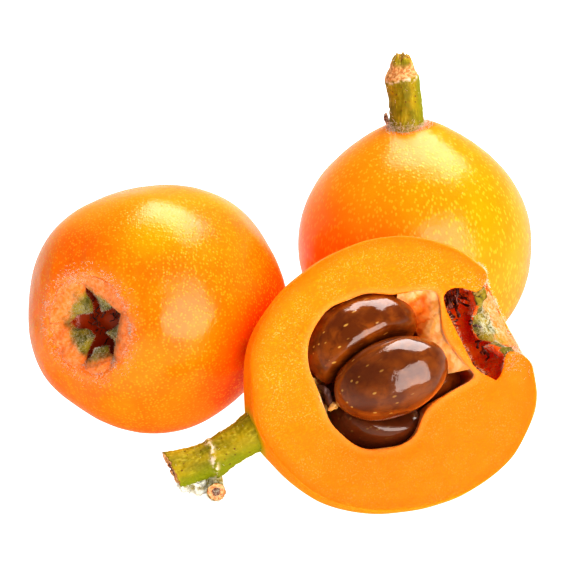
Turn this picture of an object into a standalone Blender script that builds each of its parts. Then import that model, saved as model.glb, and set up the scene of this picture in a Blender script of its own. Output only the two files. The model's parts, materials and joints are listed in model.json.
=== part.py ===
"""Loquat cluster: two whole fruits and one cut lengthwise, resting against each other.

Every fruit is modelled in its own frame: Z runs along the core from the stem to the
calyx, and the frame is then leaned over and set on the table.  Sizes are in
millimetres; MM turns them into Blender's metres.
"""
import math

import bmesh
import bpy
from mathutils import Matrix, Vector

MM = 0.001

# Driving dimensions of the fruits
SIDES = 28                  # facets round a fruit
LINE_STEPS = 2              # points along an outline between two given ones
FRUIT_RADIUS = 22.0         # radius that the outlines below are drawn for
REST_FLAT = 0.35            # how deep the resting spot is pressed flat
GAP = 0.3                   # clearance between neighbouring pieces
SHARP_ANGLE = 40            # degrees; a sharper edge than this stays sharp
CUT_HEIGHT = 4.2            # the knife passed this far in front of the core
CAVITY_WALL_END = -2.0      # the seed cavity's walls are upright down to here
CAVITY_FLOOR = -8.6         # and close to a bowl here
CAVITY_BOWL_POWER = 2.2     # how square the bowl is
BOWL_SHARES = (0.3, 0.5, 0.68, 0.82, 0.92, 0.98)    # depths of the bowl's rings

# Outlines of a fruit as (along the core, out from the core)
DEEP_CALYX = [(13.0, 0), (13.1, 6.0), (14.0, 8.7), (16.5, 8.6), (18.6, 6.8), (20.0, 6.9)]
SHALLOW_CALYX = [(15.6, 0), (15.8, 4.8), (17.2, 6.6), (19.0, 6.8), (20.4, 7.1)]
CALYX_RIM = [(21.7, 8.6), (21.4, 10.5), (19.4, 14.2), (15.0, 18.4)]
ROUND_SIDE = [(10.3, 20.8), (3.0, 22.0), (-5.0, 21.1), (-12.3, 18.3), (-18.0, 13.9),
              (-21.0, 8.9), (-22.7, 3.2), (-22.9, 0)]
NECKED_SIDE = [(10.3, 20.8), (3.0, 22.6), (-5.0, 22.1), (-12.3, 18.7), (-18.0, 13.4),
               (-21.8, 7.8), (-23.7, 3.2), (-23.9, 0)]

# The three fruits: place on the table, way that the core points, and how they grew.
# "up" turns the fruit about its core: it is the way that its own +X leans.
# lumps holds (count round the fruit, cosine part, sine part) of its uneven roundness.
# lean bends the skin across the core, and tilt raises the calyx rim behind the knife.
CUT = {"name": "cut", "radius": 22.1, "place": (16.4, 0.6), "core": (0.889, 0.381, 0.254),
       "up": (-0.434, 0.522, 0.734), "outline": DEEP_CALYX + CALYX_RIM + ROUND_SIDE,
       "lean": 0.0235, "tilt": 0.25, "lumps": []}
LEFT = {"name": "left", "radius": 21.4, "place": (-21.2, 24.4), "core": (-0.510, -0.798, 0.323),
        "up": (0, 0, 1), "outline": SHALLOW_CALYX + CALYX_RIM + ROUND_SIDE,
        "lean": 0.0, "tilt": 0.0,
        "lumps": [(2, -0.002, -0.012), (3, 0.004, 0.0), (5, 0.009, -0.016)]}
REAR = {"name": "rear", "radius": 20.6, "place": (23.8, 44.9), "core": (0.033, -0.242, -0.969),
        "up": (1, 0, 0), "outline": SHALLOW_CALYX + CALYX_RIM + NECKED_SIDE,
        "lean": 0.0, "tilt": 0.0, "lumps": []}
LEAN_FROM = -4.7            # a leaning fruit's skin crosses its straight core here
CALYX_SHIFT = 0.6           # a leaning fruit's calyx sits this far to the other side
CALYX_REACH = (7.0, 12.0)   # from the core: all calyx here, all skin here
TILT_ALONG = (13.0, 19.0)   # along the core: no tilt yet here, all of it from here on
TILT_WIDTH = 14.0           # and it stops to grow this far behind the knife

# Outline of the seed cavity on the cut face, as (across, along the core)
CAVITY = [(1.3, -12.3), (4.1, -11.9), (7.0, -11.7), (10.0, -10.4), (12.4, -8.2), (14.0, -5.0),
          (14.3, -1.0), (13.8, 2.6), (12.1, 6.0), (10.8, 9.0), (9.6, 12.0), (8.7, 12.8),
          (7.3, 12.5), (4.5, 11.4), (1.9, 10.9), (-0.9, 11.3), (-3.8, 12.0), (-5.5, 12.3),
          (-6.2, 11.4), (-6.4, 8.5), (-7.3, 4.2), (-8.6, 1.6), (-10.3, -0.5), (-10.9, -3.2),
          (-10.2, -6.8), (-8.2, -9.9), (-5.2, -11.6), (-2.0, -12.5)]

# Seeds: centre (across, out of the face, along the core), half sizes (length, width,
# thickness), the turn of the long axis from the core in degrees, and how readily the
# seed flattens against another
SEEDS = {
    "cut_seed_front": ((-0.35, 5.2, -0.4), (9.4, 6.2, 5.6), -4.3, 1.0),
    "cut_seed_upper": ((7.1, 0.7, -1.0), (9.5, 6.5, 5.9), 5.0, 5.0),
    "cut_seed_lower": ((-4.6, -1.0, -4.3), (6.5, 5.3, 4.7), -28.0, 5.0),
    "cut_seed_right": ((-3.3, -2.5, 6.6), (5.0, 2.2, 3.8), -10.0, 5.0),
}
SEED_SIDES = 20
SEED_RINGS = 12
SEED_SQUASH = 1.2           # depth over which a seed flattens against its neighbour

# Papery walls of the seed cavity: path as (across, along the core), low and high edge
MEMBRANES = {
    "cut_membrane_upper": ([(9.4, 10.6), (8.2, 11.6), (6.4, 11.5), (4.8, 10.7)], -3.5, 3.6),
    "cut_membrane_ridge": ([(3.9, 9.0), (3.2, 9.5), (2.5, 10.0), (1.9, 10.2)], -3.0, 3.0),
    "cut_membrane_flap": ([(0.4, 10.3), (-1.4, 10.7), (-3.4, 11.3), (-4.9, 11.6)], 1.2, 3.9),
    "cut_membrane_left": ([(4.0, -11.1), (2.4, -11.4), (0.6, -11.7), (-1.6, -11.7)], -3.0, 3.5),
}
MEMBRANE_THICKNESS = 0.4
MEMBRANE_LEVELS = 4

# Calyx: sizes as the outlines give them, azimuths and spans in degrees round the core
SEPAL_BASE = 5.4            # distance of a sepal's foot from the core
SEPAL_TIP = 2.0
SEPAL_FOOT_HEIGHT = 20.2
SEPAL_TIP_HEIGHT = 18.2
SEPAL_THICKNESS = 1.0
SEPAL_TAPER = 0.75          # share of its span that a sepal loses towards its tip
SEPAL_ROWS = 5
SEPAL_COLUMNS = 6
LEFT_SEPALS = [-14.0, 65.0, 143.0, 206.0, 270.0]
REAR_SEPALS = [0.0, 72.0, 144.0, 216.0, 288.0]
SEPAL_SPAN = 60.0
CUT_SEPALS = {"cut_sepal_upper": (0.0, 56.0), "cut_sepal_middle": (-72.0, 60.0),
              "cut_sepal_lower": (-146.0, 52.0)}

# Dried stamens standing in a ring, as (height of the foot, foot radius, top radius,
# length, first azimuth, degrees that the ring covers)
STAMEN_TEETH = 14
STAMEN_SHORT = 0.45         # every other stamen is this share of the others' length
STAMEN_THICKNESS = 0.5
CUT_STAMENS = (13.9, 5.0, 5.4, 2.6, 170, 200)
WHOLE_STAMENS = (16.1, 2.6, 1.4, 1.6, 0, 350)

# Stems: points (x, y, z in the fruit's frame) with the radius there
CUT_STEM = [((1.3, 0.0, -23.4), 3.0), ((1.1, 0.0, -25.6), 2.9), ((0.7, 0.0, -29.6), 2.8),
            ((0.4, 0.0, -31.2), 3.2), ((0.8, 0.0, -33.6), 2.9), ((1.6, 0.0, -37.7), 3.0)]
CUT_STUB = [((0.3, 0.0, -32.1), 1.5), ((-2.2, 0.5, -32.4), 1.5), ((-4.5, 1.8, -33.1), 1.5)]
LEFT_STEM = [((0.0, 0.0, -22.6), 2.5), ((0.0, 0.0, -25.6), 2.3), ((0.3, 0.0, -28.6), 2.6)]
REAR_STEM = [((-1.3, 0.0, -22.9), 3.0), ((-1.4, 0.0, -26.0), 3.0), ((-1.9, 0.0, -30.0), 3.1),
             ((-1.9, 0.1, -32.4), 2.6), ((-1.9, 0.2, -34.5), 1.5)]
STEM_ROUNDING = 3           # bevel resolution of a stem

# The little dry scale at the foot of the rear fruit's stem
BRACT_FOOT = (-5.0, -22.3)  # (across, along the core)
BRACT_LEAN = -0.7
BRACT_LENGTH = 3.0
BRACT_HALF_WIDTH = 1.5
BRACT_THICKNESS = 0.5
BRACT_ROWS = 3
BRACT_COLUMNS = 3
BRACT_TAPER = 0.8           # share of its width that the scale loses towards its tip

# The seed that never grew, a dry curl beside the front seed
ABORTED_SEED_PLACE = (0.7, 1.2, -10.0)
ABORTED_SEED_HALF = (1.3, 0.8, 0.8)
ABORTED_SEED_SIDES = 12
ABORTED_SEED_RINGS = 8

# Blocks that are only taken away: the table top and the knife's side of the cut fruit
TABLE_BLOCK = ((200, 200, 20), (0, 20, -10))        # size and centre
KNIFE_SIDE = 60
KNIFE_DEPTH = 30


def clear_scene():
    """Empty the file, so that the model starts from nothing."""
    for thing in list(bpy.data.objects):
        bpy.data.objects.remove(thing, do_unlink=True)


def make_collection(name):
    """A named collection in the scene."""
    collection = bpy.data.collections.new(name)
    bpy.context.scene.collection.children.link(collection)
    return collection


def make_material(name, colour, roughness):
    """A plain finish: none of a fruit's pieces is metal."""
    material = bpy.data.materials.new(name)
    material.use_nodes = True
    shader = material.node_tree.nodes["Principled BSDF"]
    shader.inputs["Base Color"].default_value = (*colour, 1.0)
    shader.inputs["Roughness"].default_value = roughness
    shader.inputs["Metallic"].default_value = 0.0
    return material


def smooth_line(points, closed=False):
    """Points along a soft curve through the given ones, which it also holds."""
    count = len(points)
    spans = count if closed else count - 1
    line = []
    for i in range(spans):
        if closed:
            near = [Vector(points[(i + k) % count]) for k in (-1, 0, 1, 2)]
        else:
            near = [Vector(points[min(max(i + k, 0), count - 1)]) for k in (-1, 0, 1, 2)]
        before, start, end, after = near
        for step in range(LINE_STEPS):
            t = step / LINE_STEPS
            line.append(0.5 * (2 * start + (end - before) * t
                               + (2 * before - 5 * start + 4 * end - after) * t ** 2
                               + (3 * start - before - 3 * end + after) * t ** 3))
    if not closed:
        line.append(Vector(points[-1]))
    return line


def add_object(name, mesh, material, parent, collection):
    """Put a mesh in the scene as one named piece of its fruit."""
    piece = bpy.data.objects.new(name, mesh)
    mesh.materials.append(material)
    piece.parent = parent
    collection.objects.link(piece)
    return piece


def mesh_from(bm, name):
    """Finish a bmesh: faces outward, shaded smooth but for real edges."""
    bmesh.ops.recalc_face_normals(bm, faces=bm.faces)
    mesh = bpy.data.meshes.new(name)
    bm.to_mesh(mesh)
    bm.free()
    mesh.shade_smooth()
    mesh.set_sharp_from_angle(angle=math.radians(SHARP_ANGLE))
    return mesh


def fruit_frame(fruit):
    """Rotation whose columns are the fruit's own X, Y and Z (the core)."""
    core = Vector(fruit["core"]).normalized()
    across = Vector(fruit["up"])
    across = (across - core * across.dot(core)).normalized()
    return Matrix((across, core.cross(across), core)).transposed()


def share_of_way(value, start, end):
    """How far a value has come from start to end, from 0 to 1."""
    return min(1.0, max(0.0, (value - start) / (end - start)))


def tilt_lift(fruit, point):
    """How much a tilted calyx rim is raised at a point, more and more behind the knife."""
    behind = min(TILT_WIDTH, max(0.0, CUT_HEIGHT - point.y))
    return fruit["tilt"] * behind * share_of_way(point.z, *TILT_ALONG)


def fruit_point(fruit, along, out, angle):
    """A point on the skin, with the fruit's lumps and the bend of its core."""
    swell = 1.0
    for count, cosine, sine in fruit["lumps"]:
        swell += cosine * math.cos(count * angle) + sine * math.sin(count * angle)
    size = fruit["radius"] / FRUIT_RADIUS
    bend = 0.0
    if fruit["lean"]:
        skin = share_of_way(out, *CALYX_REACH)
        calyx = CALYX_SHIFT if along > 0 else 0.0
        bend = calyx * (1 - skin) - fruit["lean"] * (along - LEAN_FROM) * skin
    point = Vector((out * swell * math.cos(angle) + bend, out * swell * math.sin(angle), along))
    point.z += tilt_lift(fruit, point)
    return point * size


def fruit_mesh(fruit):
    """A closed round body: a sphere whose rings are drawn onto the fruit's outline."""
    line = smooth_line([(along, out, 0) for along, out in fruit["outline"]])
    rings = len(line) - 1
    bm = bmesh.new()
    bmesh.ops.create_uvsphere(bm, u_segments=SIDES, v_segments=rings, radius=1)
    for vertex in bm.verts:
        ring = round(math.acos(max(-1.0, min(1.0, vertex.co.z))) / math.pi * rings)
        angle = math.atan2(vertex.co.y, vertex.co.x)
        along, out, _ = line[ring]
        vertex.co = fruit_point(fruit, along, max(out, 0.0), angle) * MM
    return mesh_from(bm, fruit["name"] + "_flesh")


def place_fruit(fruit, mesh, root):
    """Stand the fruit's frame so that its lowest spot is pressed flat on the table."""
    frame = bpy.data.objects.new(fruit["name"] + "_frame", None)
    frame.parent = root
    turn = fruit_frame(fruit)
    lowest = min((turn @ vertex.co).z for vertex in mesh.vertices)
    x, y = fruit["place"]
    height = -lowest - REST_FLAT * MM
    frame.matrix_world = Matrix.Translation((x * MM, y * MM, height)) @ turn.to_4x4()
    bpy.context.scene.collection.objects.link(frame)
    return frame


def add_cutter(name, mesh, parent, cutters):
    """A shape that is only taken away from others."""
    cutter = bpy.data.objects.new(name, mesh)
    cutter.parent = parent
    cutter.hide_render = True
    cutter.display_type = "WIRE"
    cutters.objects.link(cutter)
    return cutter


def box_mesh(name, size, centre):
    """A block, sizes in millimetres."""
    bm = bmesh.new()
    shape = Matrix.Translation(Vector(centre) * MM) @ Matrix.Diagonal((*(Vector(size) * MM), 1))
    bmesh.ops.create_cube(bm, size=1, matrix=shape)
    return mesh_from(bm, name)


def cavity_mesh():
    """The seed cavity: the outline on the face, upright walls and a bowl below them."""
    outline = smooth_line([(across, along, 0) for across, along in CAVITY], closed=True)
    levels = [(CUT_HEIGHT + 3.0, 1.0), (CAVITY_WALL_END, 1.0)]
    for share in BOWL_SHARES:
        depth = CAVITY_WALL_END + (CAVITY_FLOOR - CAVITY_WALL_END) * share
        width = (1 - share ** CAVITY_BOWL_POWER) ** (1 / CAVITY_BOWL_POWER)
        levels.append((depth, width))
    bm = bmesh.new()
    rings = []
    for depth, width in levels:
        rings.append([bm.verts.new(Vector((p.x * width, depth, p.y * width)) * MM) for p in outline])
    count = len(outline)
    for upper, lower in zip(rings, rings[1:]):
        for i in range(count):
            bm.faces.new((upper[i], upper[(i + 1) % count], lower[(i + 1) % count], lower[i]))
    bm.faces.new(rings[0])
    bm.faces.new(rings[-1])
    return mesh_from(bm, "cavity_cutter")


def cut_away(piece, cutter):
    """Take the cutter's shape out of a piece."""
    modifier = piece.modifiers.new("cut_by_" + cutter.name, "BOOLEAN")
    modifier.operation = "DIFFERENCE"
    modifier.solver = "EXACT"
    modifier.object = cutter


def seed_reach(half, turn, direction):
    """How far a seed reaches from its centre in a direction."""
    long_axis, side, up = seed_axes(turn)
    parts = (direction.dot(long_axis) * half[0], direction.dot(side) * half[1],
             direction.dot(up) * half[2])
    return Vector(parts).length


def seed_axes(turn):
    """Directions of a seed's length, width and thickness in the fruit's frame."""
    angle = math.radians(turn)
    long_axis = Vector((math.sin(angle), 0, math.cos(angle)))
    side = Vector((math.cos(angle), 0, -math.sin(angle)))
    return long_axis, side, Vector((0, 1, 0))


def seed_mesh(name):
    """An oval seed, flattened where the seeds beside it press on it."""
    centre, half, turn, softness = SEEDS[name]
    centre = Vector(centre)
    long_axis, side, up = seed_axes(turn)
    bm = bmesh.new()
    bmesh.ops.create_uvsphere(bm, u_segments=SEED_SIDES, v_segments=SEED_RINGS, radius=1)
    for vertex in bm.verts:
        x, y, z = vertex.co
        vertex.co = centre + long_axis * z * half[0] + side * x * half[1] + up * y * half[2]
    for other, (other_centre, other_half, other_turn, other_softness) in SEEDS.items():
        if other == name:
            continue
        apart = Vector(other_centre) - centre
        towards = apart.normalized()
        own = seed_reach(half, turn, towards)
        theirs = seed_reach(other_half, other_turn, -towards)
        overlap = own + theirs - (apart.length - GAP)
        limit = own - overlap * softness / (softness + other_softness)
        for vertex in bm.verts:
            reach = (vertex.co - centre).dot(towards)
            over = reach - (limit - SEED_SQUASH)
            if over > 0:
                pressed = limit - SEED_SQUASH * math.exp(-over / SEED_SQUASH)
                vertex.co += towards * (pressed - reach)
    bmesh.ops.scale(bm, vec=(MM, MM, MM), verts=bm.verts)
    return mesh_from(bm, name)


def sheet_mesh(name, rows):
    """An open sheet through rows of points; Solidify makes it a thin wall."""
    bm = bmesh.new()
    grid = [[bm.verts.new(Vector(point) * MM) for point in row] for row in rows]
    for low, high in zip(grid, grid[1:]):
        for i in range(len(low) - 1):
            bm.faces.new((low[i], low[i + 1], high[i + 1], high[i]))
    return mesh_from(bm, name)


def thicken(piece, thickness):
    """Give a sheet its thickness, half to each side."""
    modifier = piece.modifiers.new("thickness", "SOLIDIFY")
    modifier.thickness = thickness * MM
    modifier.offset = 0.0
    modifier.use_even_offset = True


def membrane_rows(path, low, high):
    """A papery wall standing along its path."""
    line = smooth_line([(across, along, 0) for across, along in path])
    rows = []
    for level in range(MEMBRANE_LEVELS + 1):
        height = low + (high - low) * level / MEMBRANE_LEVELS
        rows.append([(p.x, height, p.y) for p in line])
    return rows


def sepal_rows(fruit, azimuth, span):
    """A leathery calyx lobe, wide at its foot, bent in over the calyx."""
    size = fruit["radius"] / FRUIT_RADIUS
    shift = CALYX_SHIFT if fruit["lean"] else 0.0
    rows = []
    for row in range(SEPAL_ROWS + 1):
        share = row / SEPAL_ROWS
        out = SEPAL_BASE + (SEPAL_TIP - SEPAL_BASE) * share
        width = math.radians(span) / 2 * (1 - SEPAL_TAPER * share ** 2)
        height = SEPAL_FOOT_HEIGHT + (SEPAL_TIP_HEIGHT - SEPAL_FOOT_HEIGHT) * share ** 1.5
        points = []
        for column in range(SEPAL_COLUMNS + 1):
            angle = math.radians(azimuth) + width * (2 * column / SEPAL_COLUMNS - 1)
            point = Vector((shift + out * math.cos(angle), out * math.sin(angle), height))
            point.z += tilt_lift(fruit, point)
            points.append(point * size)
        rows.append(points)
    return rows


def stamen_rows(fruit, ring):
    """A ring of dried stamens: a low wall whose upper edge runs up and down in teeth."""
    size = fruit["radius"] / FRUIT_RADIUS
    base_height, base_radius, top_radius, height, start, sweep = ring
    columns = STAMEN_TEETH * 2
    foot = []
    middle = []
    top = []
    for column in range(columns + 1):
        angle = math.radians(start + sweep * column / columns)
        tall = 1.0 if column % 2 else STAMEN_SHORT
        for row, share in ((foot, 0.0), (middle, 0.5), (top, 1.0)):
            out = base_radius + (top_radius - base_radius) * tall * share
            up = base_height + height * tall * share
            row.append(Vector((out * math.cos(angle), out * math.sin(angle), up)) * size)
    return [foot, middle, top]


def stem_mesh(name, points, frame):
    """A woody stalk along its points, closed at both ends."""
    curve = bpy.data.curves.new(name, "CURVE")
    curve.dimensions = "3D"
    curve.bevel_depth = MM
    curve.bevel_resolution = STEM_ROUNDING
    curve.use_fill_caps = True
    spline = curve.splines.new("POLY")
    spline.points.add(len(points) - 1)
    for slot, (place, radius) in zip(spline.points, points):
        slot.co = (*(Vector(place) * MM), 1.0)
        slot.radius = radius
    holder = bpy.data.objects.new(name + "_curve", curve)
    holder.parent = frame
    bpy.context.scene.collection.objects.link(holder)
    bpy.context.view_layer.update()
    graph = bpy.context.evaluated_depsgraph_get()
    mesh = bpy.data.meshes.new_from_object(holder.evaluated_get(graph))
    bpy.data.objects.remove(holder, do_unlink=True)
    bm = bmesh.new()
    bm.from_mesh(mesh)
    bmesh.ops.remove_doubles(bm, verts=bm.verts, dist=0.00001)
    bpy.data.meshes.remove(mesh)
    return mesh_from(bm, name)


def bract_rows():
    """A small pointed scale that stands against the foot of the stem."""
    across, along = BRACT_FOOT
    rows = []
    for row in range(BRACT_ROWS + 1):
        share = row / BRACT_ROWS
        width = BRACT_HALF_WIDTH * (1 - BRACT_TAPER * share)
        rows.append([(across + BRACT_LEAN * share, width * (2 * column / BRACT_COLUMNS - 1),
                      along - BRACT_LENGTH * share) for column in range(BRACT_COLUMNS + 1)])
    return rows


def aborted_seed_mesh():
    """A small dry oval."""
    bm = bmesh.new()
    shape = Matrix.Translation(Vector(ABORTED_SEED_PLACE) * MM) @ Matrix.Diagonal(
        (*(Vector(ABORTED_SEED_HALF) * MM), 1))
    bmesh.ops.create_uvsphere(bm, u_segments=ABORTED_SEED_SIDES, v_segments=ABORTED_SEED_RINGS,
                              radius=1, matrix=shape)
    return mesh_from(bm, "cut_aborted_seed")


def centre_on_table(root, parts):
    """Move everything so that the middle of its footprint is the origin."""
    bpy.context.view_layer.update()
    graph = bpy.context.evaluated_depsgraph_get()
    corners = []
    for piece in parts.objects:
        solid = piece.evaluated_get(graph)
        corners.extend(piece.matrix_world @ vertex.co for vertex in solid.data.vertices)
    middle_x = (min(c.x for c in corners) + max(c.x for c in corners)) / 2
    middle_y = (min(c.y for c in corners) + max(c.y for c in corners)) / 2
    root.location = (-middle_x, -middle_y, 0.0)
    bpy.context.view_layer.update()


def main():
    clear_scene()
    parts = make_collection("loquat_cluster")
    cutters = make_collection("cutters")
    skin = make_material("loquat_skin", (1.0, 0.42, 0.02), 0.35)
    flesh = make_material("loquat_flesh", (1.0, 0.50, 0.04), 0.45)
    seed_coat = make_material("seed_coat", (0.30, 0.11, 0.02), 0.18)
    papery = make_material("papery_membrane", (0.95, 0.70, 0.38), 0.5)
    sepal_green = make_material("sepal_green", (0.42, 0.40, 0.14), 0.8)
    dried = make_material("dried_stamens", (0.12, 0.04, 0.02), 0.7)
    stem_bark = make_material("stem_bark", (0.42, 0.38, 0.06), 0.65)

    root = bpy.data.objects.new("cluster_root", None)
    bpy.context.scene.collection.objects.link(root)
    table = add_cutter("table_cutter", box_mesh("table_cutter", *TABLE_BLOCK), root, cutters)

    frames = {}
    bodies = {}
    for fruit in (CUT, LEFT, REAR):
        mesh = fruit_mesh(fruit)
        frames[fruit["name"]] = place_fruit(fruit, mesh, root)
        material = flesh if fruit is CUT else skin
        body = add_object(fruit["name"] + "_flesh", mesh, material, frames[fruit["name"]], parts)
        cut_away(body, table)
        bodies[fruit["name"]] = body
    cut_frame = frames["cut"]

    knife_block = box_mesh("knife_cutter", (KNIFE_SIDE, KNIFE_DEPTH, KNIFE_SIDE),
                           (0, CUT_HEIGHT + KNIFE_DEPTH / 2, 0))
    knife = add_cutter("knife_cutter", knife_block, cut_frame, cutters)
    cavity = add_cutter("cavity_cutter", cavity_mesh(), cut_frame, cutters)
    cut_away(bodies["cut"], knife)
    cut_away(bodies["cut"], cavity)

    for name in SEEDS:
        add_object(name, seed_mesh(name), seed_coat, cut_frame, parts)
    for name, (path, low, high) in MEMBRANES.items():
        sheet = add_object(name, sheet_mesh(name, membrane_rows(path, low, high)), papery,
                           cut_frame, parts)
        thicken(sheet, MEMBRANE_THICKNESS)

    add_object("cut_aborted_seed", aborted_seed_mesh(), dried, cut_frame, parts)

    for name, (azimuth, span) in CUT_SEPALS.items():
        sepal = add_object(name, sheet_mesh(name, sepal_rows(CUT, azimuth, span)), sepal_green,
                           cut_frame, parts)
        thicken(sepal, SEPAL_THICKNESS)
    for fruit, azimuths in ((LEFT, LEFT_SEPALS), (REAR, REAR_SEPALS)):
        for number, azimuth in enumerate(azimuths, start=1):
            name = f"{fruit['name']}_sepal_{number}"
            sepal = add_object(name, sheet_mesh(name, sepal_rows(fruit, azimuth, SEPAL_SPAN)),
                               sepal_green, frames[fruit["name"]], parts)
            thicken(sepal, SEPAL_THICKNESS)
    for fruit, ring in ((CUT, CUT_STAMENS), (LEFT, WHOLE_STAMENS), (REAR, WHOLE_STAMENS)):
        name = fruit["name"] + "_stamens"
        stamens = add_object(name, sheet_mesh(name, stamen_rows(fruit, ring)), dried,
                             frames[fruit["name"]], parts)
        thicken(stamens, STAMEN_THICKNESS)

    for fruit, points in ((CUT, CUT_STEM), (LEFT, LEFT_STEM), (REAR, REAR_STEM)):
        name = fruit["name"] + "_stem"
        frame = frames[fruit["name"]]
        add_object(name, stem_mesh(name, points, frame), stem_bark, frame, parts)
    stub = add_cutter("stub_shape", stem_mesh("stub_shape", CUT_STUB, cut_frame), cut_frame,
                      cutters)
    join = parts.objects["cut_stem"].modifiers.new("side_stub", "BOOLEAN")
    join.operation = "UNION"
    join.solver = "EXACT"
    join.object = stub
    bract = add_object("rear_bract", sheet_mesh("rear_bract", bract_rows()), dried,
                       frames["rear"], parts)
    thicken(bract, BRACT_THICKNESS)
    centre_on_table(root, parts)


main()
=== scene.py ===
"""The look of a loquat cluster: two whole fruits and one cut lengthwise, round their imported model.

Sizes are in millimetres unless a name says otherwise, and MM turns them into metres.  Each
fruit is made in its own frame: X runs across, Y out of the knife's face and Z along the
core, from the stem to the calyx.  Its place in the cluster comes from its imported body.
"""

import json
import math

import bmesh
import bpy
import numpy as np
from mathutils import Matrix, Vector

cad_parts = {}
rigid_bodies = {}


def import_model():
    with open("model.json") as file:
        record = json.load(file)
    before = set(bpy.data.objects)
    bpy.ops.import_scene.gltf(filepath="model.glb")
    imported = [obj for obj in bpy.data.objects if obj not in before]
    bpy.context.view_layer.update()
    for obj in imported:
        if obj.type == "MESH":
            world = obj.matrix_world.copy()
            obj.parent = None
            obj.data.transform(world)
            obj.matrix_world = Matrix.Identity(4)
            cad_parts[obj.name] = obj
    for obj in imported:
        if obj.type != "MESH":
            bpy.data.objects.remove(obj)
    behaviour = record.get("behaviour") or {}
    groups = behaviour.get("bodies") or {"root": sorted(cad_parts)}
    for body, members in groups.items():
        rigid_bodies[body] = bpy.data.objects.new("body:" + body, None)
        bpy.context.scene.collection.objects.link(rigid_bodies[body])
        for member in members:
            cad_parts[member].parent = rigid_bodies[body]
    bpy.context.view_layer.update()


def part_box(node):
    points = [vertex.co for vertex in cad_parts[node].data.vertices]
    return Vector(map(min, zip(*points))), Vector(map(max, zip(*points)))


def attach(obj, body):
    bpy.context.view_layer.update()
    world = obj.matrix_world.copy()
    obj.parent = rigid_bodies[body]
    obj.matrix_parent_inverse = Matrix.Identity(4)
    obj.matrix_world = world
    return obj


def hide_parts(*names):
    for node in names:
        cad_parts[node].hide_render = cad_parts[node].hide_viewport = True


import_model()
MM = 0.001

# ---- The table, the light and the view ---------------------------------------------------
# A plain pale table top, two large soft lamps and a camera that looks down on the cluster.
# None of it belongs to the fruit.
VIEW_TARGET = Vector((-0.55, 6.1, 21.0)) * MM
VIEW_DISTANCE = 320.6 * MM
VIEW_ELEVATION = math.radians(31.0)
LENS = 115.2                # millimetres on a sensor 36 wide
TABLE_SIDE = 6.0            # metres
TABLE_DROP = 0.03 * MM      # the fruit's flat spots stay just clear of the table top
SOFTBOXES = {               # way to it, distance, width and height in metres, watts
    "softbox_above": ((0.20, 0.50, 0.84), 0.6, 0.60, 0.40, 4.0),
    "softbox_front": ((0.47, -0.78, 0.41), 0.6, 0.50, 0.54, 3.3),
}
ROOM_GLOW = (0.7, 0.15)     # low round the horizon, and overhead
ROOM_GLOW_HEIGHTS = (-0.30, 0.40)
TABLE_GLOW = (0.08, 0.78)   # what gloss shows of the table, close by and far off
TABLE_GLOW_HEIGHTS = (-0.85, -0.40)

scene = bpy.context.scene
scene.view_settings.view_transform = "Standard"
scene.view_settings.look = "High Contrast"
world = bpy.data.worlds.new("pale_room")
world.use_nodes = True
room = world.node_tree.nodes["Background"]
room.inputs["Color"].default_value = (1.0, 1.0, 1.0, 1.0)
way_seen = world.node_tree.nodes.new("ShaderNodeTexCoord")
parted = world.node_tree.nodes.new("ShaderNodeSeparateXYZ")
dimmer = world.node_tree.nodes.new("ShaderNodeMath")
dimmer.operation = "MINIMUM"
world.node_tree.links.new(way_seen.outputs["Generated"], parted.inputs["Vector"])
for number, numbers in enumerate((ROOM_GLOW_HEIGHTS + ROOM_GLOW, TABLE_GLOW_HEIGHTS + TABLE_GLOW)):
    glow = world.node_tree.nodes.new("ShaderNodeMapRange")
    for socket, value in zip(("From Min", "From Max", "To Min", "To Max"), numbers):
        glow.inputs[socket].default_value = value
    world.node_tree.links.new(parted.outputs["Z"], glow.inputs["Value"])
    world.node_tree.links.new(glow.outputs["Result"], dimmer.inputs[number])
world.node_tree.links.new(dimmer.outputs["Value"], room.inputs["Strength"])
scene.world = world

for name, (way, distance, width, height, watts) in SOFTBOXES.items():
    lamp_data = bpy.data.lights.new(name, "AREA")
    lamp_data.shape = "RECTANGLE"
    lamp_data.size = width
    lamp_data.size_y = height
    lamp_data.energy = watts
    lamp = bpy.data.objects.new(name, lamp_data)
    lamp.location = VIEW_TARGET + Vector(way).normalized() * distance
    lamp.rotation_euler = Vector(way).to_track_quat("Z", "Y").to_euler()
    lamp.visible_camera = False
    scene.collection.objects.link(lamp)

camera_data = bpy.data.cameras.new("camera")
camera_data.lens = LENS
camera_data.clip_start = 0.01
camera = bpy.data.objects.new("camera", camera_data)
to_camera = Vector((0.0, -math.cos(VIEW_ELEVATION), math.sin(VIEW_ELEVATION)))
camera.location = VIEW_TARGET + to_camera * VIEW_DISTANCE
camera.rotation_euler = to_camera.to_track_quat("Z", "Y").to_euler()
scene.collection.objects.link(camera)
scene.camera = camera


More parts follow.
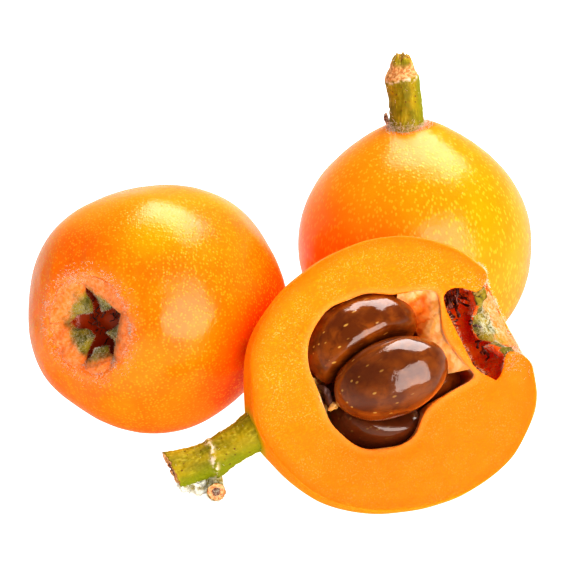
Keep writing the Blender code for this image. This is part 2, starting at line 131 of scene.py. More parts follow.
class Finish:
    """One kind of surface: a Principled material and short ways to add the nodes that feed it."""

    def __init__(self, name, sockets):
        self.material = bpy.data.materials.new(name)
        self.material.use_nodes = True
        self.tree = self.material.node_tree
        self.shader = self.tree.nodes["Principled BSDF"]
        for socket, value in sockets.items():
            self.shader.inputs[socket].default_value = value

    def feed(self, socket, value):
        """Set a socket to a number, a vector or a colour, or link another socket to it."""
        if isinstance(value, bpy.types.NodeSocket):
            self.tree.links.new(value, socket)
        elif socket.type == "RGBA":
            socket.default_value = (*value, 1.0)
        else:
            socket.default_value = value

    def node(self, kind, inputs, **settings):
        made = self.tree.nodes.new("ShaderNode" + kind)
        for name, value in settings.items():
            setattr(made, name, value)
        for name, value in inputs.items():
            self.feed(made.inputs[name], value)
        return made

    def measure(self, name):
        """A number kept for each point of the mesh."""
        return self.node("Attribute", {}, attribute_name=name).outputs["Fac"]

    def place(self, stretch=(1, 1, 1)):
        """Where a point lies in the fruit's own frame, in millimetres."""
        spot = self.node("Attribute", {}, attribute_name="place").outputs["Vector"]
        return self.node("Mapping", {"Vector": spot, "Scale": stretch}).outputs["Vector"]

    def noise(self, size, detail=3.0, stretch=(1, 1, 1), warp=0.0):
        """Cloudy variation of the given size, from 0 to 1."""
        inputs = {"Vector": self.place(stretch), "Scale": 1 / size, "Detail": detail,
                  "Distortion": warp}
        return self.node("TexNoise", inputs).outputs["Fac"]

    def fade(self, value, low, high, ends=(0.0, 1.0)):
        """Turn a range of a value into a soft step between the two ends."""
        inputs = {"Value": value, "From Min": low, "From Max": high, "To Min": ends[0],
                  "To Max": ends[1]}
        return self.node("MapRange", inputs, interpolation_type="SMOOTHSTEP").outputs["Result"]

    def patches(self, size, detail, low, high, ends=(0.0, 1.0), stretch=(1, 1, 1), warp=0.0):
        """Soft-edged patches: cloudy variation, faded over a range of its height."""
        return self.fade(self.noise(size, detail, stretch, warp), low, high, ends)

    def maths(self, operation, first, second):
        made = self.node("Math", {}, operation=operation)
        self.feed(made.inputs[0], first)
        self.feed(made.inputs[1], second)
        return made.outputs["Value"]

    def product(self, *values):
        made = values[0]
        for value in values[1:]:
            made = self.maths("MULTIPLY", made, value)
        return made

    def total(self, *values):
        made = values[0]
        for value in values[1:]:
            made = self.maths("ADD", made, value)
        return made

    def dots(self, size, reach, share, stretch=(1, 1, 1)):
        """Soft dots: at most one in each cell of the given size, in that share of the cells."""
        cells = self.node("TexVoronoi", {"Vector": self.place(stretch), "Scale": 1 / size})
        red = self.node("SeparateColor", {"Color": cells.outputs["Color"]}).outputs["Red"]
        inside = self.fade(cells.outputs["Distance"], reach, reach * 0.5)
        return self.product(inside, self.fade(red, share + 0.04, share - 0.04))

    def mix(self, share, first, second, kind="MIX"):
        """Go from the first colour to the second by a share."""
        made = self.node("Mix", {}, data_type="RGBA", blend_type=kind)
        self.feed(made.inputs["Factor"], share)
        self.feed(made.inputs[6], first)
        self.feed(made.inputs[7], second)
        return made.outputs[2]

    def colour(self, value):
        self.feed(self.shader.inputs["Base Color"], value)

    def roughness(self, value):
        self.feed(self.shader.inputs["Roughness"], value)

    def relief(self, height, depth, strength=1.0, coat=False):
        """Raise and sink the surface by a height from 0 to 1 that stands for a depth."""
        inputs = {"Height": height, "Distance": depth * MM, "Strength": strength}
        normal = self.node("Bump", inputs).outputs["Normal"]
        self.feed(self.shader.inputs["Normal"], normal)
        if coat:
            self.feed(self.shader.inputs["Coat Normal"], normal)


table_mesh = bpy.data.meshes.new("table_top")
half = TABLE_SIDE / 2
table_mesh.from_pydata([(-half, -half, -TABLE_DROP), (half, -half, -TABLE_DROP),
                        (half, half, -TABLE_DROP), (-half, half, -TABLE_DROP)], [], [(0, 1, 2, 3)])
table_top = bpy.data.objects.new("table_top", table_mesh)
scene.collection.objects.link(table_top)
pale = Finish("pale_table", {"Roughness": 0.9, "Specular IOR Level": 0.1,
                             "Emission Color": (1.0, 1.0, 1.0, 1.0), "Emission Strength": 0.9})
pale.colour((0.25, 0.25, 0.25))
table_mesh.materials.append(pale.material)
table_top.visible_glossy = False

# ---- The cut fruit's flesh and skin ------------------------------------------------------
# Firm juicy orange flesh under a thin tough skin, grown in one piece.  A knife took the
# near side off, and opened the seed cavity and the calyx hollow.
FRUIT_RADIUS = 22.0         # radius that the outlines are drawn for
CUT_HEIGHT = 4.2            # the knife passed this far in front of the core
# Outlines as (along the core, out from it)
DEEP_CALYX = [(13.0, 0), (13.1, 6.0), (14.0, 8.7), (16.5, 8.6), (18.6, 6.8), (20.0, 6.9)]
SHALLOW_CALYX = [(15.6, 0), (15.8, 4.8), (17.2, 6.6), (19.0, 6.8), (20.4, 7.1)]
CALYX_RIM = [(21.7, 8.6), (21.4, 10.5), (19.4, 14.2), (15.0, 18.4)]
ROUND_SIDE = [(10.3, 20.8), (3.0, 22.0), (-5.0, 21.1), (-12.3, 18.3), (-18.0, 13.9),
              (-21.0, 8.9), (-22.7, 3.2), (-22.9, 0)]
CUT = {"node": "cut_flesh", "from_box": (-1.0, -2.92, 0.7), "core": (0.889, 0.381, 0.254),
       "up": (-0.434, 0.522, 0.734), "radius": 22.1, "lean": 0.0235, "tilt": 0.25, "lumps": []}
LEAN_FROM = -4.7            # a leaning fruit's skin crosses its straight core here
CALYX_SHIFT = 0.6           # its calyx sits this far to the other side
CALYX_REACH = (7.0, 12.0)   # from the core: all calyx here, all skin here
TILT_ALONG = (13.0, 19.0)   # along the core: the calyx rim's tilt starts here, and is full here
TILT_WIDTH = 14.0           # and it stops to grow this far behind the knife
FLOOR_AT = 13.2             # the calyx hollow's floor, along the core
FLOOR_DEPTH = 1.5           # the flesh moves with it over this depth
FLOOR_CURL = (-8.6, 2.4, 1.5)   # its lower end across, over what width it curls up, and how far
RIM_EDGE = (7.4, 20.6)      # the hollow's edge, out from the core and along it
STALK_FOOT = -23.2          # where the stalk comes out of the skin, along the core
NECK_AT = 1.35              # the skin swells towards the stalk round this spot across
NECK_SIZE = (1.1, 4.6)      # by this much, over this radius
# The seed cavity on the cut face, as (across, along the core)
CAVITY = [(1.3, -11.9), (4.0, -11.5), (6.8, -11.3), (9.7, -10.1), (12.0, -7.9), (13.6, -4.9),
          (13.9, -1.0), (13.4, 2.5), (11.8, 5.8), (10.8, 9.0), (9.6, 12.0), (8.7, 12.8),
          (7.3, 12.5), (4.5, 11.4), (1.9, 10.9), (-0.9, 11.3), (-3.8, 12.0), (-5.5, 12.3),
          (-6.2, 11.4), (-6.4, 8.5), (-7.0, 4.0), (-8.2, 1.5), (-9.9, -0.5), (-10.5, -3.1),
          (-9.8, -6.6), (-7.9, -9.6), (-5.0, -11.2), (-1.9, -12.1)]
CAVITY_WALL_END = -2.0
CAVITY_FLOOR = -8.6
CAVITY_BOWL_POWER = 2.2
CUT_SIDES = 200
CUT_RINGS = 200
FLESH_GRAIN = 0.27          # size of the mesh that the cut flesh is remade with
# The seeds' centre, half sizes (length, width, thickness), turn of the long axis from the
# core in degrees, and how readily they flatten against each other
SEEDS = {
    "front": ((-0.35, 5.2, -0.4), (9.4, 6.25, 5.6), -4.3, 1.0),
    "upper": ((7.3, 0.7, -1.0), (9.8, 7.2, 5.9), 5.6, 5.0),
    "lower": ((-4.5, -1.0, -3.9), (7.5, 6.0, 5.0), -30.0, 5.0),
    "right": ((-4.1, -2.5, 6.9), (5.3, 3.2, 4.2), -12.0, 5.0),
}
SEED_GAP = 0.2
SEED_SQUASH = 1.0
SEED_SIDES = 128
SEED_RINGS = 128
SEED_FIT = 0.02             # the flesh stays this far from the seeds that lie in it


def set_frame(fruit):
    """Work out a fruit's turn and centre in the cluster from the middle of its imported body."""
    core = np.array(fruit["core"], float)
    core /= np.linalg.norm(core)
    across = np.array(fruit["up"], float)
    across -= core * (across @ core)
    across /= np.linalg.norm(across)
    fruit["turn"] = np.column_stack((across, np.cross(core, across), core))
    low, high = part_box(fruit["node"])
    fruit["centre"] = np.array((low + high) / 2) / MM + np.array(fruit["from_box"])


def row_points(fruit, points):
    """Points of a fruit's own frame, set in the cluster and kept on the table, in metres."""
    placed = (points @ fruit["turn"].T + fruit["centre"]) * MM
    placed[:, 2] = np.maximum(placed[:, 2], 0.0)
    return placed


def soft_line(points, count, closed=False, to_axis=False):
    """Even steps along a smooth curve through the points; to_axis mirrors both of its ends."""
    knots = np.array(points, float)
    first, last = 0, len(knots) - 1
    if closed:
        knots = np.vstack((knots[-4:], knots, knots[:5]))
        first, last = 4, len(knots) - 5
    if to_axis:
        flip = np.array((1, -1))
        knots = np.vstack((knots[2:0:-1] * flip, knots, knots[-2:-4:-1] * flip))
        first, last = 2, len(knots) - 3
    run = np.concatenate(([0], np.cumsum(np.linalg.norm(np.diff(knots, axis=0), axis=1) ** 0.5)))
    step = np.diff(run)
    size = len(knots)
    system = np.eye(size)
    pull = np.zeros_like(knots)
    for i in range(1, size - 1):
        system[i, i - 1:i + 2] = step[i - 1], 2 * (step[i - 1] + step[i]), step[i]
        pull[i] = 6 * ((knots[i + 1] - knots[i]) / step[i] - (knots[i] - knots[i - 1]) / step[i - 1])
    bend = np.linalg.solve(system, pull)
    fine = np.linspace(run[first], run[last], 40 * size)
    i = np.clip(np.searchsorted(run, fine, side="right") - 1, 0, size - 2)
    a = ((run[i + 1] - fine) / step[i])[:, None]
    b = 1 - a
    line = (a * knots[i] + b * knots[i + 1]
            + ((a ** 3 - a) * bend[i] + (b ** 3 - b) * bend[i + 1]) * step[i][:, None] ** 2 / 6)
    length = np.concatenate(([0], np.cumsum(np.linalg.norm(np.diff(line, axis=0), axis=1))))
    even = np.linspace(0, length[-1], count, endpoint=not closed)
    return np.column_stack([np.interp(even, length, line[:, k]) for k in range(line.shape[1])])


def ripples(points, size, seed):
    """A smooth random height at each point, about -1 to 1, that changes over the given size."""
    rng = np.random.default_rng(seed)
    height = np.zeros(len(points))
    for _ in range(14):
        way = rng.normal(size=3)
        way *= 2 * math.pi / (size * rng.uniform(0.7, 1.6)) / np.linalg.norm(way)
        height += np.sin(points @ way + rng.uniform(0, 2 * math.pi))
    return height / math.sqrt(14)


def soft_step(value, low, high):
    share = np.clip((value - low) / (high - low), 0, 1)
    return share * share * (3 - 2 * share)


def tilt_lift(fruit, across_y, along):
    """How much a tilted calyx rim is raised, more and more behind the knife."""
    behind = np.clip(CUT_HEIGHT - across_y, 0, TILT_WIDTH)
    start, full = TILT_ALONG
    return fruit["tilt"] * behind * np.clip((along - start) / (full - start), 0, 1)


def core_bend(fruit, along, out):
    """How far a leaning fruit's calyx and skin are shifted across, off its straight core."""
    inner, outer = CALYX_REACH
    skin = np.clip((out - inner) / (outer - inner), 0, 1)
    calyx = np.where(along > 0, CALYX_SHIFT, 0.0)
    return calyx * (1 - skin) - fruit["lean"] * (along - LEAN_FROM) * skin


def fruit_points(fruit, along, out, angle):
    """Points of the skin, with the fruit's uneven roundness and the bend of its core."""
    swell = np.ones_like(angle)
    for count, cosine, sine in fruit["lumps"]:
        swell = swell + cosine * np.cos(count * angle) + sine * np.sin(count * angle)
    bend = core_bend(fruit, along, out) if fruit["lean"] else 0.0
    x = out * swell * np.cos(angle) + bend
    y = out * swell * np.sin(angle)
    z = along + 0 * x
    z = z + tilt_lift(fruit, y, z)
    return np.stack((x, y, z), axis=-1) * fruit["radius"] / FRUIT_RADIUS


def ring_faces(rings, sides):
    """Quads that join rings of points into a tube."""
    ring, side = np.meshgrid(np.arange(rings - 1), np.arange(sides), indexing="ij")
    here = ring * sides + side
    beside = ring * sides + (side + 1) % sides
    return np.stack((here, beside, beside + sides, here + sides), axis=-1).reshape(-1, 4)


def closed_tube(rings):
    """Close rings of points at both ends, each onto one middle point."""
    count, sides = rings.shape[:2]
    points = np.vstack((rings.reshape(-1, 3), rings[0].mean(axis=0), rings[-1].mean(axis=0)))
    faces = ring_faces(count, sides).tolist()
    start, end = count * sides, count * sides + 1
    last = (count - 1) * sides
    for i in range(sides):
        faces.append((start, (i + 1) % sides, i))
        faces.append((end, last + i, last + (i + 1) % sides))
    return points, faces


def round_body(fruit, outline, sides, rings):
    """A closed round body drawn onto the fruit's outline."""
    line = soft_line(outline, rings, to_axis=True)
    angle = np.linspace(0, 2 * math.pi, sides, endpoint=False)
    inner = line[1:-1]
    body = fruit_points(fruit, inner[:, :1], inner[:, 1:], angle[None, :])
    points, faces = closed_tube(body)
    for place, (along, out) in ((-2, line[0]), (-1, line[-1])):
        points[place] = fruit_points(fruit, np.array([along]), np.array([0.0]), np.array([0.0]))[0]
    return points, faces


def plain_object(name, points, faces):
    """An object straight from points, faces turned outward and shaded smooth."""
    mesh = bpy.data.meshes.new(name)
    mesh.from_pydata(np.asarray(points).tolist(), [], [tuple(face) for face in faces])
    bm = bmesh.new()
    bm.from_mesh(mesh)
    bmesh.ops.recalc_face_normals(bm, faces=bm.faces)
    bm.to_mesh(mesh)
    bm.free()
    mesh.shade_smooth()
    made = bpy.data.objects.new(name, mesh)
    scene.collection.objects.link(made)
    return made


def make_piece(name, fruit, points, faces, finish, measures=None):
    """A piece of a fruit: its mesh in the cluster, its finish, and the numbers that feed it."""
    piece = plain_object(name, row_points(fruit, points), faces)
    place = piece.data.attributes.new("place", "FLOAT_VECTOR", "POINT")
    place.data.foreach_set("vector", np.asarray(points, np.float32).ravel())
    for title, values in (measures or {}).items():
        kept = piece.data.attributes.new(title, "FLOAT", "POINT")
        kept.data.foreach_set("value", np.asarray(values, np.float32))
    piece.data.materials.append(finish.material)
    return piece


def set_in_cluster(piece, slot, *nodes):
    """The piece rides on the cluster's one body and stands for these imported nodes."""
    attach(piece, "root")
    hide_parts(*nodes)


def line_distance(points, line):
    """Distance from points to the nearest point of a fine line."""
    found = np.empty(len(points))
    batch = 4000                # points taken together, to spare memory
    for start in range(0, len(points), batch):
        gap = points[start:start + batch, None, :] - line[None, :, :]
        found[start:start + batch] = np.sqrt((gap ** 2).sum(axis=-1).min(axis=1))
    return found


def cavity_shape():
    """The seed cavity as a solid to take away: upright walls and a bowl below them."""
    outline = soft_line(CAVITY, 220, closed=True)
    levels = [(CUT_HEIGHT + 3.0, 1.0)]
    levels += [(height, 1.0) for height in np.linspace(CUT_HEIGHT + 0.5, CAVITY_WALL_END, 9)]
    for share in np.linspace(0.06, 0.995, 18):
        height = CAVITY_WALL_END + (CAVITY_FLOOR - CAVITY_WALL_END) * share
        levels.append((height, (1 - share ** CAVITY_BOWL_POWER) ** (1 / CAVITY_BOWL_POWER)))
    rings = []
    for height, width in levels:
        across, along = outline[:, 0] * width, outline[:, 1] * width
        rings.append(np.column_stack((across, np.full(len(outline), height), along)))
    return closed_tube(np.array(rings))


def seed_axes(turn):
    """Ways of a seed's length, width and thickness."""
    angle = math.radians(turn)
    return np.array(((math.sin(angle), 0, math.cos(angle)),
                     (math.cos(angle), 0, -math.sin(angle)), (0.0, 1.0, 0.0)))


def seed_reach(half_sizes, turn, way):
    return np.linalg.norm(seed_axes(turn) @ way * np.array(half_sizes))


def seed_points(title, unit):
    """An oval seed from points of a unit ball, pressed flat towards the seeds beside it."""
    centre, half_sizes, turn, softness = SEEDS[title]
    centre = np.array(centre)
    axes = seed_axes(turn)
    shape = centre + unit[:, 2:3] * half_sizes[0] * axes[0] + unit[:, 0:1] * half_sizes[1] * axes[1] \
        + unit[:, 1:2] * half_sizes[2] * axes[2]
    for other, (other_centre, other_sizes, other_turn, other_softness) in SEEDS.items():
        if other == title:
            continue
        apart = np.array(other_centre) - centre
        distance = np.linalg.norm(apart)
        towards = apart / distance
        own = seed_reach(half_sizes, turn, towards)
        theirs = seed_reach(other_sizes, other_turn, -towards)
        overlap = own + theirs - (distance - SEED_GAP)
        limit = own - overlap * softness / (softness + other_softness)
        reach = (shape - centre) @ towards
        over = np.maximum(reach - (limit - SEED_SQUASH), 0)
        pressed = limit - SEED_SQUASH * np.exp(-over / SEED_SQUASH)
        shape = shape + towards * np.where(over > 0, pressed - reach, 0)[:, None]
    return shape


def unit_ball(sides, rings):
    """Points of a ball with a radius of one, and the faces that join them."""
    polar = np.linspace(0, math.pi, rings + 2)[1:-1, None]
    around = np.linspace(0, 2 * math.pi, sides, endpoint=False)[None, :]
    ball = np.stack((np.sin(polar) * np.cos(around), np.sin(polar) * np.sin(around),
                     np.cos(polar) + 0 * around), axis=-1)
    points, faces = closed_tube(ball)
    points[-2:] = (0, 0, 1), (0, 0, -1)
    return points, faces


def box_shape(low, high):
    """The corners and faces of a block."""
    corners = [(x, y, z) for z in (low[2], high[2]) for y in (low[1], high[1])
               for x in (low[0], high[0])]
    faces = [(0, 2, 3, 1), (4, 5, 7, 6), (0, 1, 5, 4), (2, 6, 7, 3), (0, 4, 6, 2), (1, 3, 7, 5)]
    return corners, faces


def remade(solid, cutters, grain):
    """Take the cutters out of a solid and remake it as one fine even mesh."""
    for cutter in cutters:
        cut = solid.modifiers.new("cut", "BOOLEAN")
        cut.operation = "DIFFERENCE"
        cut.solver = "EXACT"
        cut.object = cutter
    remesh = solid.modifiers.new("fine_mesh", "REMESH")
    remesh.mode = "VOXEL"
    remesh.voxel_size = grain
    bpy.context.view_layer.update()
    mesh = solid.evaluated_get(bpy.context.evaluated_depsgraph_get()).to_mesh()
    points = np.empty(len(mesh.vertices) * 3)
    mesh.vertices.foreach_get("co", points)
    faces = [tuple(face.vertices) for face in mesh.polygons]
    edges = np.empty(len(mesh.edges) * 2, int)
    mesh.edges.foreach_get("vertices", edges)
    for thing in [solid, *cutters]:
        bpy.data.objects.remove(thing, do_unlink=True)
    return points.reshape(-1, 3), faces, edges.reshape(-1, 2)


def relaxed(points, edges, rounds, strength):
    """Even out a mesh by moving each point towards the middle of those beside it."""
    both = np.vstack((edges, edges[:, ::-1]))
    count = np.maximum(np.bincount(both[:, 0], minlength=len(points)), 1)
    for _ in range(rounds):
        middle = np.column_stack([np.bincount(both[:, 0], weights=points[both[:, 1], k],
                                              minlength=len(points)) for k in range(3)])
        points = points + (middle / count[:, None] - points) * strength
    return points


def floor_rise(across):
    """How far the hollow's floor curls up towards its lower end."""
    end, width, rise = FLOOR_CURL
    return rise * np.exp(-((across - end) / width) ** 2)


set_frame(CUT)
cut_outline = DEEP_CALYX + CALYX_RIM + ROUND_SIDE
blank = plain_object("blank", *round_body(CUT, cut_outline, CUT_SIDES, CUT_RINGS))
knife = plain_object("knife", *box_shape((-40, CUT_HEIGHT, -40), (40, 40, 40)))
core_hole = plain_object("core_hole", *cavity_shape())
cutters = [knife, core_hole]
ball_points, ball_faces = unit_ball(SEED_SIDES // 2, SEED_RINGS // 2)
for title in ("upper", "lower", "right"):
    middle = np.array(SEEDS[title][0])
    hugged = seed_points(title, ball_points) - middle
    hugged *= 1 + SEED_FIT / np.linalg.norm(hugged, axis=1)[:, None]
    cutters.append(plain_object("hug_" + title, hugged + middle, ball_faces))
points, faces, edges = remade(blank, cutters, FLESH_GRAIN)
points = relaxed(points, edges, 3, 0.5)

size = CUT["radius"] / FRUIT_RADIUS
grown = points / size       # where the outline's own numbers hold
for _ in range(8):
    lift = tilt_lift(CUT, grown[:, 1], grown[:, 2])
    grown[:, 2] = points[:, 2] / size - lift
line = soft_line(cut_outline, 500, to_axis=True)
rim_start = int(np.argmin(np.linalg.norm(line - np.array(CALYX_RIM[0]), axis=1)))
bend = core_bend(CUT, grown[:, 2], np.hypot(grown[:, 0], grown[:, 1]))
profile = np.column_stack((grown[:, 2], np.hypot(grown[:, 0] - bend, grown[:, 1])))
to_skin = line_distance(profile, line[rim_start:])
to_hollow = line_distance(profile, line[:rim_start])
below_cut = CUT_HEIGHT - points[:, 1]
on_face = 1 - soft_step(below_cut, 0.1, 0.35)
skin_mask = (1 - soft_step(to_skin, 0.15, 0.45)) * (1 - on_face)
hollow_mask = (1 - soft_step(to_hollow, 0.2, 0.6)) * (1 - on_face) * (1 - skin_mask)
cavity_mask = (1 - on_face) * (1 - skin_mask) * (1 - hollow_mask)
off_edge = profile[:, 1] - RIM_EDGE[0]
from_rim = np.hypot(grown[:, 2] - RIM_EDGE[1], np.minimum(off_edge, 0) * 0.4 + np.maximum(off_edge, 0))
outline_now = soft_line(CAVITY, 400, closed=True)
to_cavity = line_distance(points[:, [0, 2]], outline_now)
points[:, 1] += 0.05 * ripples(points, 5.0, 11) * on_face
points += 0.07 * ripples(points, 6.0, 12)[:, None] * (skin_mask * 0.5 + cavity_mask * 2)[:, None] \
    * (points / np.linalg.norm(points, axis=1)[:, None])
points[:, 2] += floor_rise(points[:, 0]) * np.exp(-((points[:, 2] - FLOOR_AT) / FLOOR_DEPTH) ** 2)
from_neck = np.hypot(points[:, 0] - NECK_AT, points[:, 1])
points[:, 2] -= NECK_SIZE[0] * np.exp(-(from_neck / NECK_SIZE[1]) ** 2) * (points[:, 2] < -14)

cut_look = Finish("cut_loquat", {
    "Subsurface Weight": 0.35, "Subsurface Radius": (1.0, 0.38, 0.08),
    "Subsurface Scale": 2.2 * MM})
flesh = cut_look.mix(cut_look.noise(6.0), (0.95, 0.215, 0.001), (1.0, 0.28, 0.002))
grain = cut_look.noise(0.42, 5.0, stretch=(1, 1, 0.7))
flesh = cut_look.mix(cut_look.fade(grain, 0.48, 0.66, (0.0, 0.8)), flesh, (1.0, 0.335, 0.006))
# Painted glints: pale specks of light on the wet grain, painted into the flesh's colour; the same specks
# also raise its gloss.
painted_glints = cut_look.product(cut_look.patches(0.26, 3.0, 0.54, 0.66),
                            cut_look.patches(3.2, 2.0, 0.30, 0.62))
flesh = cut_look.mix(cut_look.product(painted_glints, 0.42), flesh, (1.0, 0.60, 0.16))
flesh = cut_look.mix(cut_look.measure("deeper"), flesh, (0.97, 0.20, 0.001))
near_skin = cut_look.fade(cut_look.measure("to_skin"), 2.4, 0.3, (0.0, 0.75))
flesh = cut_look.mix(near_skin, flesh, (1.0, 0.19, 0.001))
near_cavity = cut_look.fade(cut_look.measure("to_cavity"), 1.4, 0.1, (0.0, 0.6))
flesh = cut_look.mix(near_cavity, flesh, (1.0, 0.34, 0.07))
folds = cut_look.patches(2.2, 4.0, 0.42, 0.62, stretch=(1, 0.5, 1), warp=1.0)
lining = cut_look.mix(folds, (0.95, 0.26, 0.006), (1.0, 0.50, 0.17))
lining = cut_look.mix(cut_look.measure("papery"), lining, (1.0, 0.62, 0.36))
flesh = cut_look.mix(cut_look.measure("cavity"), flesh, lining)
# Painted shade: the flesh down in the calyx hollow is painted a deeper, darker red than the cut face.
hollow_shade = cut_look.mix(cut_look.patches(1.6, 3.0, 0.35, 0.65), (0.90, 0.10, 0.001),
                    (1.0, 0.28, 0.001))
flesh = cut_look.mix(cut_look.measure("hollow"), flesh, hollow_shade)
peel = cut_look.mix(cut_look.noise(6.0), (0.95, 0.22, 0.002), (1.0, 0.31, 0.004))
peel_dots = cut_look.dots(0.6, 0.36, 1.1)
peel = cut_look.mix(cut_look.product(peel_dots, 0.35), peel, (1.0, 0.45, 0.02))
felted = cut_look.patches(1.6, 5.0, 0.28, 0.70)
down = cut_look.product(cut_look.fade(cut_look.measure("from_rim"), 6.5, 2.0), felted)
peel = cut_look.mix(down, peel, (0.98, 0.47, 0.22))
near_stem = cut_look.fade(cut_look.measure("to_stem"), 5.2, 3.2)
peel = cut_look.mix(near_stem, peel, (0.55, 0.36, 0.006))
cut_look.colour(cut_look.mix(cut_look.measure("skin"), flesh, peel))
cut_look.roughness(cut_look.fade(grain, 0.35, 0.65, (0.34, 0.56)))
cut_look.feed(cut_look.shader.inputs["Specular IOR Level"],
              cut_look.fade(painted_glints, 0.1, 0.9, (0.10, 0.28)))
cut_look.relief(cut_look.total(cut_look.product(grain, 0.55), cut_look.noise(1.3, 3.0)),
                0.08)
papery_part = soft_step(points[:, 1], 0.5, 3.5) * np.maximum(
    soft_step(points[:, 2], 8.6, 10.4), soft_step(points[:, 2], -10.4, -11.6))
papery_part *= 0.35 + 0.65 * soft_step(ripples(points, 2.0, 13), -0.5, 0.5)
to_stem = np.linalg.norm(points - np.array((NECK_AT, 0.0, STALK_FOOT)), axis=1)
cut_fruit = make_piece("cut_fruit", CUT, points, faces, cut_look, {
    "skin": skin_mask, "hollow": hollow_mask, "cavity": cavity_mask, "papery": papery_part,
    "to_skin": to_skin, "deeper": 0.75 * soft_step(points[:, 0], 9.0, -13.0),
    "to_cavity": to_cavity, "from_rim": from_rim, "to_stem": to_stem})
set_in_cluster(cut_fruit, "cut_flesh", "cut_flesh")

# ---- The papery walls of the seed cavity -------------------------------------------------
# Thin cream skins that lined and parted the seeds' chambers.  The knife left them torn,
# folded and stuck to the flesh of the cavity's wall.
SHEETS = {                  # paths of the top and the bottom edge, how ragged, how creamy
    "upper": ([(11.9, 3.5, 7.4), (11.1, 3.5, 10.4), (9.9, 3.6, 12.6), (7.6, 3.6, 12.8), (5.4, 3.6, 12.1)],
              [(10.2, 2.2, 6.2), (8.8, 1.7, 7.2), (7.6, 1.3, 8.0), (6.4, 0.9, 8.0), (5.0, 0.4, 7.4)],
              0.03, 0.08, 0.1),
    "ridge": ([(5.7, 3.6, 12.1), (4.0, 3.7, 11.6), (2.4, 3.7, 11.3), (0.6, 3.6, 11.4)],
              [(5.3, 0.4, 7.4), (4.2, 0.5, 7.0), (2.8, 0.9, 7.0), (1.4, 1.3, 7.2)], 0.03, 0.08, 0.35),
    "flap": ([(1.2, 3.6, 11.4), (-1.0, 3.7, 11.7), (-2.7, 3.7, 12.2), (-4.6, 3.6, 12.6)],
             [(1.8, 1.4, 7.2), (-0.2, 1.2, 7.4), (-2.0, 1.3, 7.8), (-3.6, 1.6, 8.8)], 0.03, 0.12, 0.8),
    "left": ([(5.2, 3.9, -11.6), (3.2, 4.1, -11.9), (1.2, 4.1, -12.3), (-0.8, 4.0, -12.4),
              (-2.7, 3.8, -12.2)],
             [(4.9, -1.0, -10.2), (3.2, -1.0, -10.2), (1.4, -1.0, -10.5), (-0.4, -1.0, -10.8),
              (-2.2, -0.6, -11.2)], 0.08, 0.3, 0.0),
}
SHEET_THICKNESS = 0.2
SHEET_COLUMNS = 60
SHEET_ROWS = 40


def slab(top, bottom):
    """A closed mesh between two grids of points of the same size."""
    rows, columns = top.shape[:2]
    points = np.vstack((top.reshape(-1, 3), bottom.reshape(-1, 3)))
    lower = rows * columns
    faces = []
    for r in range(rows - 1):
        for c in range(columns - 1):
            i = r * columns + c
            faces.append((i, i + 1, i + columns + 1, i + columns))
            faces.append((lower + i, lower + i + columns, lower + i + columns + 1, lower + i + 1))
    edge = list(range(columns))
    edge += [r * columns + columns - 1 for r in range(1, rows)]
    edge += [(rows - 1) * columns + c for c in range(columns - 2, -1, -1)]
    edge += [r * columns for r in range(rows - 2, 0, -1)]
    for here, there in zip(edge, edge[1:] + edge[:1]):
        faces.append((here, lower + here, lower + there, there))
    return points, faces


def gather(parts):
    """Join many small meshes into one."""
    points, faces, count = [], [], 0
    for part_points, part_faces in parts:
        points.append(part_points)
        faces.extend(tuple(i + count for i in face) for face in part_faces)
        count += len(part_points)
    return np.vstack(points), faces


def grid_normals(grid):
    """Ways out of a grid of points, one for each point."""
    down, side = np.gradient(grid, axis=(0, 1))
    normals = np.cross(side, down)
    return normals / np.maximum(np.linalg.norm(normals, axis=-1, keepdims=True), 1e-9)


papery = Finish("papery_skin", {"Roughness": 0.4, "Specular IOR Level": 0.35,
                                "Subsurface Weight": 0.4, "Subsurface Radius": (1.0, 0.45, 0.15),
                                "Subsurface Scale": 1.2 * MM})
creases = papery.patches(1.3, 4.0, 0.38, 0.62, stretch=(1, 0.45, 1), warp=0.8)
orange = papery.mix(creases, (0.88, 0.145, 0.003), (0.97, 0.22, 0.014))
paper = papery.mix(papery.measure("creamy"), orange,
                   papery.mix(creases, (0.97, 0.35, 0.08), (1.0, 0.46, 0.20)))
paper = papery.mix(papery.patches(0.5, 3.0, 0.62, 0.75, (0.0, 0.4)), paper,
                   (0.90, 0.28, 0.03))
ochre = papery.mix(creases, (0.62, 0.25, 0.03), (0.95, 0.56, 0.22))
papery.colour(papery.mix(papery.measure("stem_side"), paper, ochre))
papery.relief(papery.noise(0.8, 4.0, stretch=(1, 0.4, 1)), 0.2)

